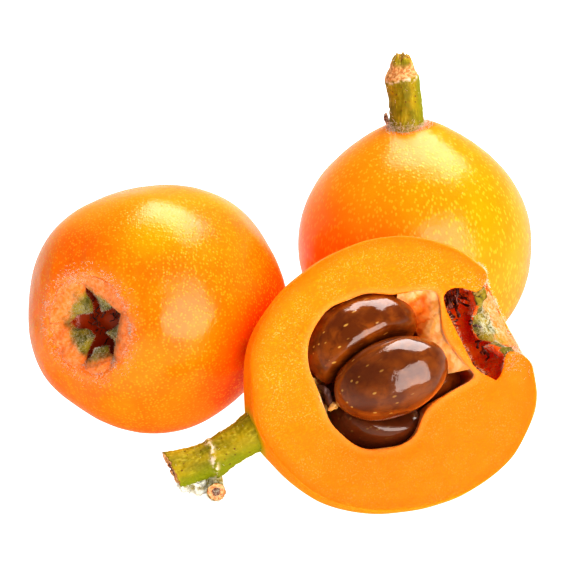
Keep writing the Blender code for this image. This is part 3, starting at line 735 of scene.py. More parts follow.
for number, (title, (top, bottom, rough_top, rough_bottom, cream)) in enumerate(SHEETS.items()):
    share = np.linspace(0, 1, SHEET_ROWS)[:, None, None]
    upper_edge = soft_line(top, SHEET_COLUMNS)
    lower_edge = soft_line(bottom, SHEET_COLUMNS)
    fall = upper_edge - lower_edge
    upper_edge = upper_edge + fall * (rough_top * ripples(upper_edge, 2.6, 40 + number))[:, None]
    lower_edge = lower_edge + fall * (rough_bottom * ripples(lower_edge, 2.6, 45 + number))[:, None]
    grid = upper_edge * share + lower_edge * (1 - share)
    flat = grid.reshape(-1, 3)
    folds = 0.16 * ripples(flat * np.array((1, 0.4, 1)), 2.8, 50 + number) \
        + 0.025 * ripples(flat, 0.9, 60 + number)
    belly = 0.3 * np.sin(math.pi * share[..., 0])
    grid = grid + grid_normals(grid) * (folds.reshape(grid.shape[:2]) + belly)[..., None]
    grid[..., 1] = np.minimum(grid[..., 1], CUT_HEIGHT + 0.15)
    normals = grid_normals(grid)
    points, faces = slab(grid + normals * SHEET_THICKNESS / 2, grid - normals * SHEET_THICKNESS / 2)
    if title == "left":
        scrap, scrap_faces = unit_ball(24, 24)
        scrap = np.array((-0.5, 2.2, -10.2)) + scrap * np.array((0.55, 0.5, 0.9))
        scrap += 0.16 * ripples(scrap, 0.9, 69)[:, None]
        points, faces = gather(((points, faces), (scrap, scrap_faces)))
    stem_side = np.full(len(points), 1.0 if title == "left" else 0.0)
    creamy = cream + soft_step(points[:, 1], 2.4, 3.4) + 0.3 * ripples(points, 2.2, 66 + number)
    sheet = make_piece("papery_wall_" + title, CUT, points, faces, papery,
                       {"stem_side": stem_side, "creamy": np.clip(creamy, 0, 1)})
    set_in_cluster(sheet, "membrane", "cut_membrane_" + title)

# ---- The seeds ---------------------------------------------------------------------------
# Four big smooth brown seeds, glossy and wet, flattened where they grew against each
# other.  Pale dashes and dark clouds run along them.
coat = Finish("seed_coat", {"Specular IOR Level": 0.25, "Coat Weight": 0.9, "Coat Roughness": 0.03,
                            "Coat IOR": 1.5, "Subsurface Weight": 0.1,
                            "Subsurface Radius": (1.0, 0.3, 0.08), "Subsurface Scale": 1.0 * MM})
brown = coat.mix(coat.patches(3.6, 3.0, 0.36, 0.66), (0.15, 0.034, 0.003),
                 (0.30, 0.080, 0.006))
brown = coat.mix(coat.patches(2.3, 5.0, 0.54, 0.72, (0.0, 0.55), warp=0.8), brown,
                 (0.09, 0.016, 0.001))
brown = coat.mix(coat.fade(coat.measure("rim"), 0.5, 1.0, (0.0, 0.8)), brown, (0.46, 0.105, 0.004))
streaks = coat.patches(0.45, 3.0, 0.56, 0.7, (0.0, 0.3), stretch=(1, 1, 0.24))
brown = coat.mix(streaks, brown, (0.10, 0.022, 0.002))
dashes = coat.product(coat.dots(0.9, 0.26, 0.5, stretch=(1, 1, 0.4)), coat.measure("flecked"))
brown = coat.mix(coat.product(dashes, 0.9), brown, (0.66, 0.36, 0.08))
# Painted shade: the front and lower seeds are darkened towards purple-brown by a share of each; the lower
# seed is partly purple-brown of its own.
purple = coat.mix(coat.noise(1.5, 3.0), (0.06, 0.016, 0.008), (0.14, 0.036, 0.012))
coat.colour(coat.mix(coat.measure("painted_shade"), brown, purple))
coat.roughness(coat.patches(0.8, 3.0, 0.3, 0.7, (0.10, 0.22)))
coat.relief(coat.total(coat.noise(1.8, 3.0, stretch=(1, 1, 0.5)),
                       coat.product(coat.noise(0.35, 2.0), 0.12), coat.product(dashes, 0.25)),
            0.06, coat=True)

SEED_LEANS = {"front": 0.12, "lower": 0.16}     # how much its far end is raised
# Painted shade for each seed: the front one, standing highest in the light, is darkened a little, the
# lower one much.
SEED_PAINTED_SHADE = {"front": 0.35, "lower": 0.8}     # how dark and purple it is
unit_points, seed_faces = unit_ball(SEED_SIDES, SEED_RINGS)
for number, title in enumerate(SEEDS):
    points = seed_points(title, unit_points)
    ways = unit_points / np.linalg.norm(unit_points, axis=1)[:, None]
    uneven = 0.05 * ripples(points, 5.0, 70 + number) + 0.012 * ripples(points, 1.6, 80 + number)
    points = points + ways * uneven[:, None]
    points[:, 1] += SEED_LEANS.get(title, 0.0) * unit_points[:, 2] * SEEDS[title][1][0]
    rim = 1 - np.abs(unit_points[:, 1])
    flecked = soft_step(-unit_points[:, 2] + 0.25 * ripples(points, 6.0, 90 + number), -0.5, 0.5)
    painted_shade = np.full(len(points), SEED_PAINTED_SHADE.get(title, 0.0))
    seed = make_piece("seed_" + title, CUT, points, seed_faces, coat,
                      {"rim": rim, "flecked": flecked, "painted_shade": painted_shade})
    set_in_cluster(seed, "seed_coat", "cut_seed_" + title)

# ---- The shrivelled seed -----------------------------------------------------------------
# One seed never grew: a small dark brown curl, dry and wrinkled, lies at the stem end of
# the cavity.
dry = Finish("dry_brown", {"Roughness": 0.5, "Coat Weight": 0.3, "Coat Roughness": 0.25})
dry.colour(dry.mix(dry.noise(0.6, 4.0), (0.035, 0.010, 0.006), (0.17, 0.055, 0.03)))
dry.relief(dry.noise(0.35, 4.0), 0.12)


def tube_points(path, radii, sides, squash=1.0, twist=0.0):
    """Rings of points round a path, with a radius for each of its points."""
    path = np.asarray(path, float)
    radii = np.asarray(radii, float)
    ways = np.gradient(path, axis=0)
    ways /= np.linalg.norm(ways, axis=1)[:, None]
    side = np.cross(ways[0], (0.31, 0.9, 0.17))
    rings = []
    angle = np.linspace(0, 2 * math.pi, sides, endpoint=False)
    for i, way in enumerate(ways):
        side = side - way * (side @ way)
        side /= np.linalg.norm(side)
        other = np.cross(way, side)
        turned = angle + twist * i
        rings.append(path[i] + radii[i] * (np.cos(turned)[:, None] * side
                                           + np.sin(turned)[:, None] * other * squash))
    return np.array(rings)


steps = np.linspace(0, 1, 40)[:, None]
curl = np.hstack((3.6 - 4.4 * steps, 2.0 + 0.7 * np.sin(4.5 * steps),
                  -11.0 + 1.0 * steps + 0.35 * np.sin(5.0 * steps)))
points, faces = closed_tube(tube_points(curl, 0.12 + 0.52 * np.sin(math.pi * steps[:, 0]) ** 0.6, 24))
points += 0.09 * ripples(points, 0.8, 101)[:, None] * np.array((1, 1, 0.4))
shrivelled = make_piece("shrivelled_seed", CUT, points, faces, dry)
set_in_cluster(shrivelled, "dried_bits", "cut_aborted_seed")

# ---- The dried stamens and bristles of the cut calyx -------------------------------------
# The flower's stamens stayed in the calyx hollow and dried to purple-brown threads.  A
# fringe of stiff pale hairs stands along its floor's cut edge.
STRANDS = 30
STRAPS = 9                  # the broad flat ones among them
BITS = 14                   # crumbs near the mouth of the hollow
BRISTLES = 420
BRISTLE_SHAPE = (0.8, 0.05, 0.4)    # length, thickness and curl
thread_look = Finish("dried_stamens", {"Roughness": 0.42, "Coat Weight": 0.2,
                                       "Coat Roughness": 0.3})
thread_look.colour(thread_look.mix(thread_look.patches(0.7, 3.0, 0.4, 0.65),
                                   (0.045, 0.008, 0.004), (0.30, 0.09, 0.055)))
thread_look.relief(thread_look.noise(0.25, 3.0), 0.08)


def strand(rng, root, way, length, thickness, curl_by):
    """One dried thread: bent, thicker at its end, with the shrivelled anther on it."""
    steps = np.linspace(0, 1, 9)
    sag = np.cross(way, rng.normal(size=3))
    sag /= np.linalg.norm(sag)
    wobble = np.cross(way, sag)
    path = root + way * length * steps[:, None] + sag * curl_by * length * steps[:, None] ** 2 \
        + wobble * length * 0.12 * np.sin(steps * rng.uniform(3, 9))[:, None]
    radii = thickness * (1 - 0.45 * steps) * (1 + 1.1 * np.exp(-((steps - 0.93) / 0.08) ** 2))
    return closed_tube(tube_points(path, radii, 7, squash=rng.uniform(0.45, 1.0)))


rng = np.random.default_rng(7)
parts = []
for number in range(STRANDS):
    azimuth = math.radians(rng.uniform(-28, 22) if number % 2 else rng.uniform(-70, 5))
    height = rng.uniform(14.6, 17.4)
    wall = 8.0 if height < 16.8 else 7.2
    root = np.array((CALYX_SHIFT + wall * math.cos(azimuth), wall * math.sin(azimuth), height))
    way = np.array((-math.cos(azimuth), -math.sin(azimuth) + 0.6, rng.uniform(-0.4, 0.4)))
    way += rng.normal(scale=0.3, size=3)
    way /= np.linalg.norm(way)
    thickness = rng.uniform(0.3, 0.5) if number < STRAPS else rng.uniform(0.10, 0.24)
    parts.append(strand(rng, root, way, rng.uniform(1.6, 3.6), thickness, 0.35))
for _ in range(BITS):
    across = rng.uniform(-4.5, 3.0)
    root = np.array((across, rng.uniform(-3.5, -1.0), 17.8 + rng.normal(scale=0.3)))
    way = rng.normal(size=3) * np.array((1.0, 0.5, 0.9))
    way /= np.linalg.norm(way)
    parts.append(strand(rng, root, way, rng.uniform(0.6, 1.3), rng.uniform(0.2, 0.45), 0.5))
points, faces = gather(parts)
points[:, 1] = np.minimum(points[:, 1], CUT_HEIGHT + 0.3)
stamens = make_piece("cut_stamens_dried", CUT, points, faces, thread_look)
set_in_cluster(stamens, "dried_bits", "cut_stamens")


def hairs(roots, ways, length, thickness, curl_by, seed):
    """Short bent hairs, each a closed three-sided spike that stands on its root."""
    rng = np.random.default_rng(seed)
    count = len(roots)
    ways = ways + curl_by * rng.normal(size=(count, 3))
    ways /= np.linalg.norm(ways, axis=1)[:, None]
    side = np.cross(ways, rng.normal(size=(count, 3)))
    side /= np.linalg.norm(side, axis=1)[:, None]
    other = np.cross(ways, side)
    sizes = (length * rng.uniform(0.45, 1.25, count))[:, None]
    sag = side * rng.uniform(-0.45, 0.45, count)[:, None] * sizes
    corners = []
    for share, width in ((0.0, 1.0), (0.5, 0.75)):
        middle = roots + ways * sizes * share + sag * share ** 2
        for k in range(3):
            turn = 2 * math.pi * k / 3
            corners.append(middle + thickness * width * (side * math.cos(turn) + other * math.sin(turn)))
    corners.append(roots + ways * sizes + sag)
    points = np.stack(corners, axis=1).reshape(-1, 3)
    pattern = [(2, 1, 0), (0, 1, 4, 3), (1, 2, 5, 4), (2, 0, 3, 5), (3, 4, 6), (4, 5, 6), (5, 3, 6)]
    faces = [tuple(7 * i + k for k in face) for i in range(count) for face in pattern]
    return points, faces


def grow_fuzz(name, fruit, roots, ways, shape, seed, finish):
    """A piece of fuzz that rides on the cluster's one body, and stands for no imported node."""
    points, faces = hairs(roots, ways, *shape, seed)
    piece = make_piece(name, fruit, points, faces, finish)
    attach(piece, "root")


bristle_look = Finish("pale_bristles", {"Roughness": 0.6})
bristle_look.colour(bristle_look.mix(
    bristle_look.patches(0.9, 2.0, 0.42, 0.6),
    (0.16, 0.05, 0.02), (0.85, 0.52, 0.32)))
bristle_look.relief(bristle_look.noise(0.3), 0.05)
across = rng.uniform(-6.6, 6.0, BRISTLES)
roots = np.column_stack((across, rng.uniform(1.6, CUT_HEIGHT, BRISTLES),
                         13.0 + 0.9 * soft_step(np.abs(across - CALYX_SHIFT), 5.0, 8.4)
                         + floor_rise(across)))
ways = np.tile((0.0, 0.3, 0.9), (BRISTLES, 1))
grow_fuzz("cut_calyx_bristles", CUT, roots, ways, BRISTLE_SHAPE, 21, bristle_look)

# ---- The calyx lobes of all three fruits -------------------------------------------------
# Five short leathery leaves close over the end of each fruit, grey-green under a felt of
# fine hairs, grown onto its rim.  The knife took two of the cut fruit's five.
LOBE_ROOT = (8.8, 21.62)    # a lobe grows out of the rim this far from the core and this high
LOBE_TIP_HEIGHT = 17.9
LOBE_ROWS = 44
LOBE_COLUMNS = 41
LOBE_MEET = 0.12            # beyond the slits, lobes grow into each other by this much
# The slits between lobes: azimuth round the core in degrees, reach, half width and where
# they are that wide; the star of an untouched calyx is even
LEFT_SLITS = [(29.0, 6.2, 0.75, 4.0), (107.0, 5.5, 1.3, 3.2), (177.5, 6.6, 0.65, 4.8),
              (228.5, 6.4, 0.9, 4.2), (303.0, 5.2, 1.6, 3.9)]
LEFT_TIPS = [(1.9, -0.1), (1.0, 2.3), (-2.9, 0.8), (-4.4, -0.9), (-1.4, -1.7)]
EVEN_SLITS = [(36.0 + 72.0 * number, 5.8, 0.6, 3.8) for number in range(5)]
CUT_SLITS = [(-225.0, 6.4, 0.6, 4.4), (-134.0, 6.6, 0.5, 4.4), (-42.0, 6.6, 0.5, 4.4),
             (54.0, 6.4, 0.6, 4.4)]
LEFT = {"node": "left_flesh", "from_box": (0.56, 0.52, -1.06), "core": (-0.510, -0.798, 0.323),
        "up": (0, 0, 1), "radius": 21.4, "lean": 0.0, "tilt": 0.0,
        "lumps": [(2, -0.002, -0.012), (3, 0.004, 0.0), (5, 0.009, -0.016)]}
REAR = {"node": "rear_flesh", "from_box": (0.0, 0.11, -0.35), "core": (0.033, -0.242, -0.969),
        "up": (1, 0, 0), "radius": 20.6, "lean": 0.0, "tilt": 0.0, "lumps": []}
set_frame(LEFT)
set_frame(REAR)
# Each lobe lies between two slits and ends in a tip at (across, out); then its root, how far
# it hangs down and how thick it is
LOBES = {}
WHOLE_LOBE = (LOBE_ROOT, 0.0, 1.2)
for number, tip in enumerate(LEFT_TIPS):
    LOBES[f"left_{number + 1}"] = (LEFT, LEFT_SLITS[number - 1], LEFT_SLITS[number], tip, *WHOLE_LOBE)
for number in range(5):
    middle = math.radians(72.0 * number)
    tip = (1.8 * math.cos(middle), 1.8 * math.sin(middle))
    LOBES[f"rear_{number + 1}"] = (REAR, EVEN_SLITS[number - 1], EVEN_SLITS[number], tip, *WHOLE_LOBE)
LOBES["cut_upper"] = (CUT, CUT_SLITS[2], CUT_SLITS[3], (2.3, 2.0), (7.5, 20.4), 0.5, 2.4)
LOBES["cut_middle"] = (CUT, CUT_SLITS[1], CUT_SLITS[2], (-0.3, -1.0), (8.4, 21.3), 1.0, 1.8)
LOBES["cut_lower"] = (CUT, CUT_SLITS[0], CUT_SLITS[1], (-3.0, 1.2), (7.5, 20.2), 0.6, 2.2)

leaf_look = Finish("felted_lobe", {"Roughness": 0.75, "Specular IOR Level": 0.25,
                                   "Sheen Weight": 0.15, "Sheen Roughness": 0.5,
                                   "Sheen Tint": (1.0, 0.97, 0.9, 1.0),
                                   "Subsurface Weight": 0.15,
                                   "Subsurface Radius": (0.9, 0.8, 0.3),
                                   "Subsurface Scale": 0.8 * MM})
green = leaf_look.mix(leaf_look.patches(2.0, 3.0, 0.38, 0.62),
                      (0.13, 0.11, 0.008), (0.38, 0.27, 0.010))
wool = leaf_look.patches(0.5, 5.0, 0.40, 0.60)
middle_part = leaf_look.fade(leaf_look.measure("side"), 0.95, 0.35)
wool = leaf_look.total(leaf_look.product(wool, middle_part, 0.75),
                       leaf_look.product(wool, 0.15))
green = leaf_look.mix(wool, green, leaf_look.mix(leaf_look.measure("hoary"), (0.34, 0.28, 0.14),
                                                 (0.60, 0.58, 0.42)))
root_part = leaf_look.total(leaf_look.measure("root"),
                            leaf_look.product(leaf_look.noise(1.6, 4.0), 0.5))
root_part = leaf_look.fade(root_part, 0.52, 0.92)
pink = leaf_look.mix(leaf_look.patches(0.5, 5.0, 0.3, 0.75, warp=0.4),
                     (0.97, 0.22, 0.02), (0.97, 0.36, 0.15))
green = leaf_look.mix(root_part, green, pink)
inner = leaf_look.mix(leaf_look.noise(1.0, 3.0), (0.8, 0.08, 0.002), (1.0, 0.22, 0.002))
leaf_look.colour(leaf_look.mix(leaf_look.measure("inside"), green, inner))
leaf_look.relief(leaf_look.total(leaf_look.noise(0.3, 4.0), leaf_look.noise(1.2, 2.0)), 0.16)


def lobe_edge(slit, side, tip, root):
    """The edge of a lobe beside a slit, from its root to its tip."""
    azimuth, reach, half_width, widest = slit
    angle = math.radians(azimuth)
    way = np.array((math.cos(angle), math.sin(angle)))
    across = np.array((-way[1], way[0])) * side
    tip = np.array(tip)
    near_tip = tip + (way * widest + across * half_width - tip) * 0.3 - across * 0.1
    knots = [way * root - across * LOBE_MEET, way * (reach + root) / 2 - across * LOBE_MEET,
             way * reach + across * 0.05, way * (reach * 0.6 + widest * 0.4) + across * half_width * 0.8,
             way * widest + across * half_width, near_tip, tip]
    return soft_line(knots, LOBE_ROWS)


def lobe_shape(fruit, first_slit, last_slit, tip, root, hang, thickness, seed):
    """A rounded lobe between two slits, domed, with its edges rolled in and down."""
    share = np.linspace(0, 1, LOBE_ROWS)[:, None]
    side = np.linspace(-1, 1, LOBE_COLUMNS)[None, :]
    start = lobe_edge(first_slit, 1.0, tip, root[0])
    end = lobe_edge(last_slit, -1.0, tip, root[0])
    mixed = (side[..., None] + 1) / 2
    grid = start[:, None, :] * (1 - mixed) + end[:, None, :] * mixed
    pull = np.linalg.norm(end - start, axis=1)[:, None] * (1 - side ** 2)
    middle = (start + end) / 2
    outward = middle / np.maximum(np.linalg.norm(middle, axis=1)[:, None], 0.5)
    grid = grid + outward[:, None, :] * (0.16 * pull * (1 - share))[..., None]
    out = np.linalg.norm(grid, axis=-1)
    height = LOBE_TIP_HEIGHT + (root[1] - LOBE_TIP_HEIGHT) * soft_step(out, 0.4, root[0])
    height = height - 1.0 * soft_step(out, root[0] - 0.5, root[0] + 0.4)
    height = height - hang * soft_step(out, root[0] - 0.8, 5.2)
    free = soft_step(share, 0.05, 0.3)
    height = height - 0.7 * np.abs(side) ** 4 * free + 0.35 * (1 - side ** 2) * free
    shift = CALYX_SHIFT if fruit["lean"] else 0.0
    grid = np.stack((shift + grid[..., 0], grid[..., 1], height), axis=-1)
    flat = grid.reshape(-1, 3)
    uneven = 0.13 * ripples(flat, 2.6, seed) + 0.05 * ripples(flat, 0.9, seed + 1)
    grid[..., 2] += uneven.reshape(grid.shape[:2])
    grid[..., 2] += tilt_lift(fruit, grid[..., 1], grid[..., 2])
    depth = thickness * (1 - 0.35 * share) * np.sqrt(np.maximum(1 - np.abs(side) ** 4, 0.04))
    below = grid - np.stack((0 * depth, 0 * depth, depth), axis=-1)
    points, faces = slab(grid, below)
    count = grid.shape[0] * grid.shape[1]
    inside = np.concatenate((np.zeros(count), np.ones(count)))
    return points * fruit["radius"] / FRUIT_RADIUS, faces, {
        "root": np.tile((1 - share + 0 * side).ravel(), 2), "inside": inside,
        "side": np.tile((np.abs(side) + 0 * share).ravel(), 2)}


for number, (title, (fruit, *shape)) in enumerate(LOBES.items()):
    points, faces, measures = lobe_shape(fruit, *shape, 200 + 2 * number)
    if fruit is LEFT:
        measures["root"] *= 0.8
    if fruit is CUT:
        measures["inside"][points[:, 1] > CUT_HEIGHT - 0.6] = 0.0
        measures["root"][points[:, 1] > CUT_HEIGHT - 0.6] *= 0.5
        measures["root"] *= 0.6
        points[:, 1] = np.minimum(points[:, 1], CUT_HEIGHT - 0.1)
    measures["hoary"] = np.full(len(points), 0.7 if title == "cut_middle" else 0.0)
    lobe = make_piece("calyx_lobe_" + title, fruit, points, faces, leaf_look, measures)
    kept_name = title.replace("left_", "left_sepal_").replace("rear_", "rear_sepal_")
    set_in_cluster(lobe, "sepal", kept_name.replace("cut_", "cut_sepal_"))

# ---- The whole fruits' flesh and skin ----------------------------------------------------
# Ripe loquats, grown in one piece: a thin tough orange skin with fine raised pale dots, a
# soft bloom of hairs, and a mottled felt round the calyx.
NECKED_SIDE = [(10.3, 20.8), (3.0, 22.6), (-5.0, 22.1), (-12.3, 18.7), (-18.0, 13.4),
               (-21.8, 7.8), (-23.7, 3.2), (-23.9, 0)]
WHOLE_SIDES = 300
WHOLE_RINGS = 280


def skin_finish(name, dot_size, dot_stretch, dot_strength, warm, pale_peel):
    """The skin: cloudy orange with pale dots, pinkish felt round the calyx, a soft sheen."""
    skin = Finish(name, {"Subsurface Weight": 0.2, "Subsurface Radius": (1.0, 0.35, 0.08),
                         "Subsurface Scale": 1.8 * MM, "Specular IOR Level": 0.42,
                         "Sheen Weight": 0.02, "Sheen Roughness": 0.35,
                         "Sheen Tint": (1.0, 0.86, 0.76, 1.0)})
    peel = skin.mix(skin.patches(9.0, 3.0, 0.35, 0.65), warm, pale_peel)
    # Painted shade: the skin turns a darker red low on the side away from the lamps, where the fruits
    # shade each other; partly the fruit's own blush.
    peel = skin.mix(skin.measure("shade_and_blush"), peel, (0.70, 0.075, 0.0005))
    # Painted light: the skin is yellower towards the top, where the lamps fall; partly its own golden
    # tone.
    peel = skin.mix(skin.measure("top_light_and_gold"), peel, (1.0, 0.36, 0.002))
    peel = skin.mix(skin.patches(0.9, 4.0, 0.5, 0.75, (0.0, 0.3)), peel, (1.0, 0.32, 0.003))
    dots = skin.dots(dot_size, 0.44, 1.1, dot_stretch)
    peel = skin.mix(skin.product(dots, dot_strength), peel, (1.0, 0.44, 0.02))
    patch = skin.total(skin.product(skin.patches(0.5, 5.0, 0.3, 0.75, warp=0.4), 0.5),
                       skin.product(skin.patches(2.4, 2.0, 0.4, 0.6), 0.45))
    felt = skin.product(patch, skin.fade(skin.measure("from_calyx"), 5.2, 0.4))
    peel = skin.mix(skin.product(felt, 0.85), peel, (0.98, 0.38, 0.15))
    peel = skin.mix(skin.measure("stem_tint"), peel, (0.95, 0.16, 0.001))
    # Painted shade: darker red down in the calyx hollow under the lobes, with the hollow floor's own
    # red-brown.
    peel = skin.mix(skin.measure("hollow"), peel, (0.55, 0.07, 0.002))
    skin.colour(peel)
    skin.roughness(skin.patches(0.7, 3.0, 0.3, 0.7, (0.17, 0.25)))
    skin.relief(skin.total(skin.product(skin.noise(0.4, 3.0), 0.35), skin.product(dots, 0.18),
                           skin.product(skin.noise(2.4, 2.0), 0.45)), 0.10)
    return skin


def whole_fruit(name, fruit, outline, finish, shade_and_blush_way, shade_and_blush_range, top_light_and_gold_way, top_light_and_gold_range, seed):
    """The closed body of a fruit that was not cut, with its slight unevenness."""
    points, faces = round_body(fruit, outline, WHOLE_SIDES, WHOLE_RINGS)
    size = fruit["radius"] / FRUIT_RADIUS
    radial = np.hypot(points[:, 0], points[:, 1])
    along = points[:, 2]
    ways = points / np.linalg.norm(points, axis=1)[:, None]
    is_skin = soft_step(np.where(along > 12 * size, radial, 20), 6.9 * size, 8.8 * size)
    azimuth = np.arctan2(points[:, 1], points[:, 0])
    pucker = soft_step(along, 17.5 * size, 21 * size) * soft_step(radial, 8.8 * size, 11.0 * size)
    lift = is_skin * (0.08 * ripples(points, 12.0, seed) + 0.012 * ripples(points, 3.4, seed + 1))
    lift += pucker * (0.22 * np.cos(5 * azimuth + 0.6) + 0.05 * ripples(points, 2.6, seed + 2))
    points = points + ways * lift[:, None]
    turned = points @ fruit["turn"].T / fruit["radius"]
    cloud = 0.22 * ripples(points, 14.0, seed + 3)
    # Painted shade, partly the fruit's own blush: darker red towards one lower side.
    shade_and_blush = soft_step(turned @ np.array(shade_and_blush_way) + cloud, *shade_and_blush_range)
    # Painted light, partly the skin's own gold: yellower towards the top, where the lamps fall.
    top_light_and_gold = soft_step(turned @ np.array(top_light_and_gold_way) + cloud, *top_light_and_gold_range)
    # The calyx hollow, which the finish darkens with painted shade.
    hollow = soft_step(radial, 7.3 * size, 6.8 * size) * soft_step(along, 14 * size, 15 * size)
    from_calyx = np.where(along > 0, np.maximum(radial - 6.4 * size, 0), 30.0)
    stem_tint = soft_step(np.where(along < 0, radial, 30.0), 5.2, 2.8)
    return make_piece(name, fruit, points, faces, finish, {
        "shade_and_blush": shade_and_blush * 0.8, "top_light_and_gold": top_light_and_gold * 0.85, "hollow": hollow,
        "from_calyx": from_calyx, "stem_tint": stem_tint})


left_skin = skin_finish("left_loquat_skin", 0.54, (1, 1, 1), 0.5, (0.97, 0.185, 0.0005),
                        (1.0, 0.235, 0.0005))
left_fruit = whole_fruit(
    "left_fruit", LEFT, SHALLOW_CALYX + CALYX_RIM + ROUND_SIDE, left_skin,
    (0.88, -0.25, -0.40), (0.45, 1.1), (-0.1, 0.35, 0.93), (0.4, 1.15), 300)
set_in_cluster(left_fruit, "skin", "left_flesh")
rear_skin = skin_finish("rear_loquat_skin", 0.64, (1, 1, 0.5), 0.8, (0.98, 0.28, 0.0005),
                        (1.0, 0.325, 0.001))
rear_fruit = whole_fruit(
    "rear_fruit", REAR, SHALLOW_CALYX + CALYX_RIM + NECKED_SIDE, rear_skin,
    (-0.55, -0.35, -0.75), (0.65, 1.5), (0.3, 0.25, 0.9), (0.9, 1.9), 320)
set_in_cluster(rear_fruit, "skin", "rear_flesh")

# ---- The dried stamens of the whole fruits -----------------------------------------------
# Black-brown threads and crumbs of the flower, left on the floor of the calyx hollow and
# just seen through the slits between the lobes.
for fruit, title, seed in ((LEFT, "left", 31), (REAR, "rear", 32)):
    rng = np.random.default_rng(seed)
    parts = []
    for _ in range(44):
        azimuth = rng.uniform(0, 2 * math.pi)
        reach = rng.uniform(1.5, 5.2)
        root = np.array((reach * math.cos(azimuth), reach * math.sin(azimuth),
                         rng.uniform(15.9, 16.5)))
        way = rng.normal(size=3) * np.array((1, 1, 0.35))
        way /= np.linalg.norm(way)
        parts.append(strand(rng, root, way, rng.uniform(0.7, 2.0), rng.uniform(0.08, 0.17), 0.5))
    points, faces = gather(parts)
    piece = make_piece(title + "_stamens_dried", fruit, points * fruit["radius"] / FRUIT_RADIUS,
                       faces, thread_look)
    set_in_cluster(piece, "dried_bits", title + "_stamens")

# ---- The stalks --------------------------------------------------------------------------
# Green woody stalks with the fruit, snipped or torn off the bunch.  They flare into the
# skin, and carry corky specks, a torn ring at a joint, and brown dry ends.
bark_look = Finish("green_stalk", {"Roughness": 0.55, "Subsurface Weight": 0.1,
                                   "Subsurface Radius": (0.8, 0.7, 0.2),
                                   "Subsurface Scale": 0.8 * MM, "Specular IOR Level": 0.25})
bark = bark_look.mix(bark_look.patches(2.6, 3.0, 0.35, 0.65, stretch=(1, 1, 0.45)),
                     (0.22, 0.17, 0.001), (0.42, 0.28, 0.001))
bark = bark_look.mix(bark_look.patches(0.4, 4.0, 0.5, 0.7, (0.0, 0.4), stretch=(1, 1, 0.35)),
                     bark, (0.60, 0.48, 0.05))
bark = bark_look.mix(bark_look.measure("green"), bark, (0.23, 0.25, 0.001))
warts = bark_look.dots(0.8, 0.22, 0.42, (1, 1, 0.8))
bark = bark_look.mix(bark_look.product(warts, 0.85), bark, (0.20, 0.05, 0.015))
bark = bark_look.mix(bark_look.product(bark_look.measure("scar"),
                                       bark_look.patches(0.8, 4.0, 0.42, 0.6)),
                     bark, (0.82, 0.62, 0.46))
white = bark_look.product(bark_look.measure("woolly"),
                          bark_look.patches(1.0, 4.0, 0.35, 0.55))
bark = bark_look.mix(white, bark, (0.84, 0.82, 0.74))
wood = bark_look.mix(bark_look.patches(0.5, 4.0, 0.4, 0.6), (0.60, 0.24, 0.08),
                     (0.95, 0.52, 0.24))
wood = bark_look.mix(bark_look.fade(bark_look.measure("pith"), 0.55, 0.35), wood,
                     (0.25, 0.11, 0.07))
bark_look.colour(bark_look.mix(bark_look.measure("end"), bark, wood))
bark_look.relief(bark_look.total(bark_look.noise(0.5, 4.0, stretch=(1, 1, 0.3)),
                                 bark_look.product(warts, 0.5),
                                 bark_look.product(bark_look.measure("end"),
                                                   bark_look.noise(0.3, 3.0))), 0.22)
STALK_SIDES = 96
TEAR_RINGS = 30             # a slanted or torn end moves this many of a stalk's last rings
END_RINGS = np.linspace(0.93, 0.06, 12)     # rings across a stalk's end, as shares of its width
NO_RING = (-40.0, 0.0)      # past the end of every stalk, as is NO_WOOL
NO_WOOL = -50.0


def stalk(path, end_tilt, ragged, seed):
    """A stalk along its path of (x, y, z, radius), closed by a cut end that the tilt slants."""
    line = soft_line(path, 120)
    rings = tube_points(line[:, :3], line[:, 3], STALK_SIDES)
    count = len(rings)
    flat = rings.reshape(-1, 3)
    middle = np.repeat(line[:, :3], STALK_SIDES, axis=0)
    away = flat - middle
    away /= np.maximum(np.linalg.norm(away, axis=1)[:, None], 1e-9)
    grooves = ripples(flat * np.array((1, 1, 0.25)), 1.7, seed)
    flat = flat + away * (0.07 * grooves + 0.05 * ripples(flat, 0.8, seed + 1))[:, None]
    rings = flat.reshape(count, STALK_SIDES, 3)
    way = line[-1, :3] - line[-3, :3]
    way /= np.linalg.norm(way)
    centre = line[-1, :3]
    slant = ((rings[-1] - centre) @ np.array(end_tilt))[:, None] * way
    torn = ragged * (ripples(rings[-1], 0.9, seed + 2) + 0.5 * ripples(rings[-1], 0.4, seed + 3))
    for back in range(TEAR_RINGS):
        share = (1 - back / TEAR_RINGS) ** 2
        rings[-1 - back] += slant * share + way * torn[:, None] * share
    caps = []
    for share in END_RINGS:
        ring = centre + (rings[-1] - centre) * share
        rough = ragged * 1.6 * ripples(ring, 0.5, seed + 4) - 0.25 * (1 - share)
        caps.append(ring + way * rough[:, None] * (1 - share ** 4))
    points, faces = closed_tube(np.concatenate((rings, np.array(caps))))
    end = np.repeat(np.concatenate((np.zeros(count), np.ones(len(END_RINGS)))), STALK_SIDES)
    pith = np.repeat(np.concatenate((np.ones(count), END_RINGS)), STALK_SIDES)
    return points, faces, np.append(end, (0.0, 1.0)), np.append(pith, (1.0, 0.0))


def past_ring(points, ring):
    """How far points lie to the fruit's side of a joint's ring, which crosses the core slanted."""
    crossing, slant = ring
    return points[:, 2] - slant * points[:, 0] - crossing


def stalk_measures(points, end, pith, ring, wool_way, wool_from, green_way):
    """Where a stalk is scarred round its joint's ring, where it is woolly and where greenest."""
    scar = np.exp(-((past_ring(points, ring) + 0.25 * ripples(points, 2.2, 402)) / 0.4) ** 2)
    radial = points * np.array((1, 1, 0))
    radial /= np.maximum(np.linalg.norm(radial, axis=1)[:, None], 1e-6)
    woolly = soft_step(radial @ np.array(wool_way), 0.55, 0.95) * soft_step(points[:, 2], wool_from,
                                                                          wool_from - 1.0)
    green = soft_step(radial @ np.array(green_way), -0.1, 1.0)
    return {"end": end, "pith": pith, "scar": scar, "woolly": woolly, "green": green}


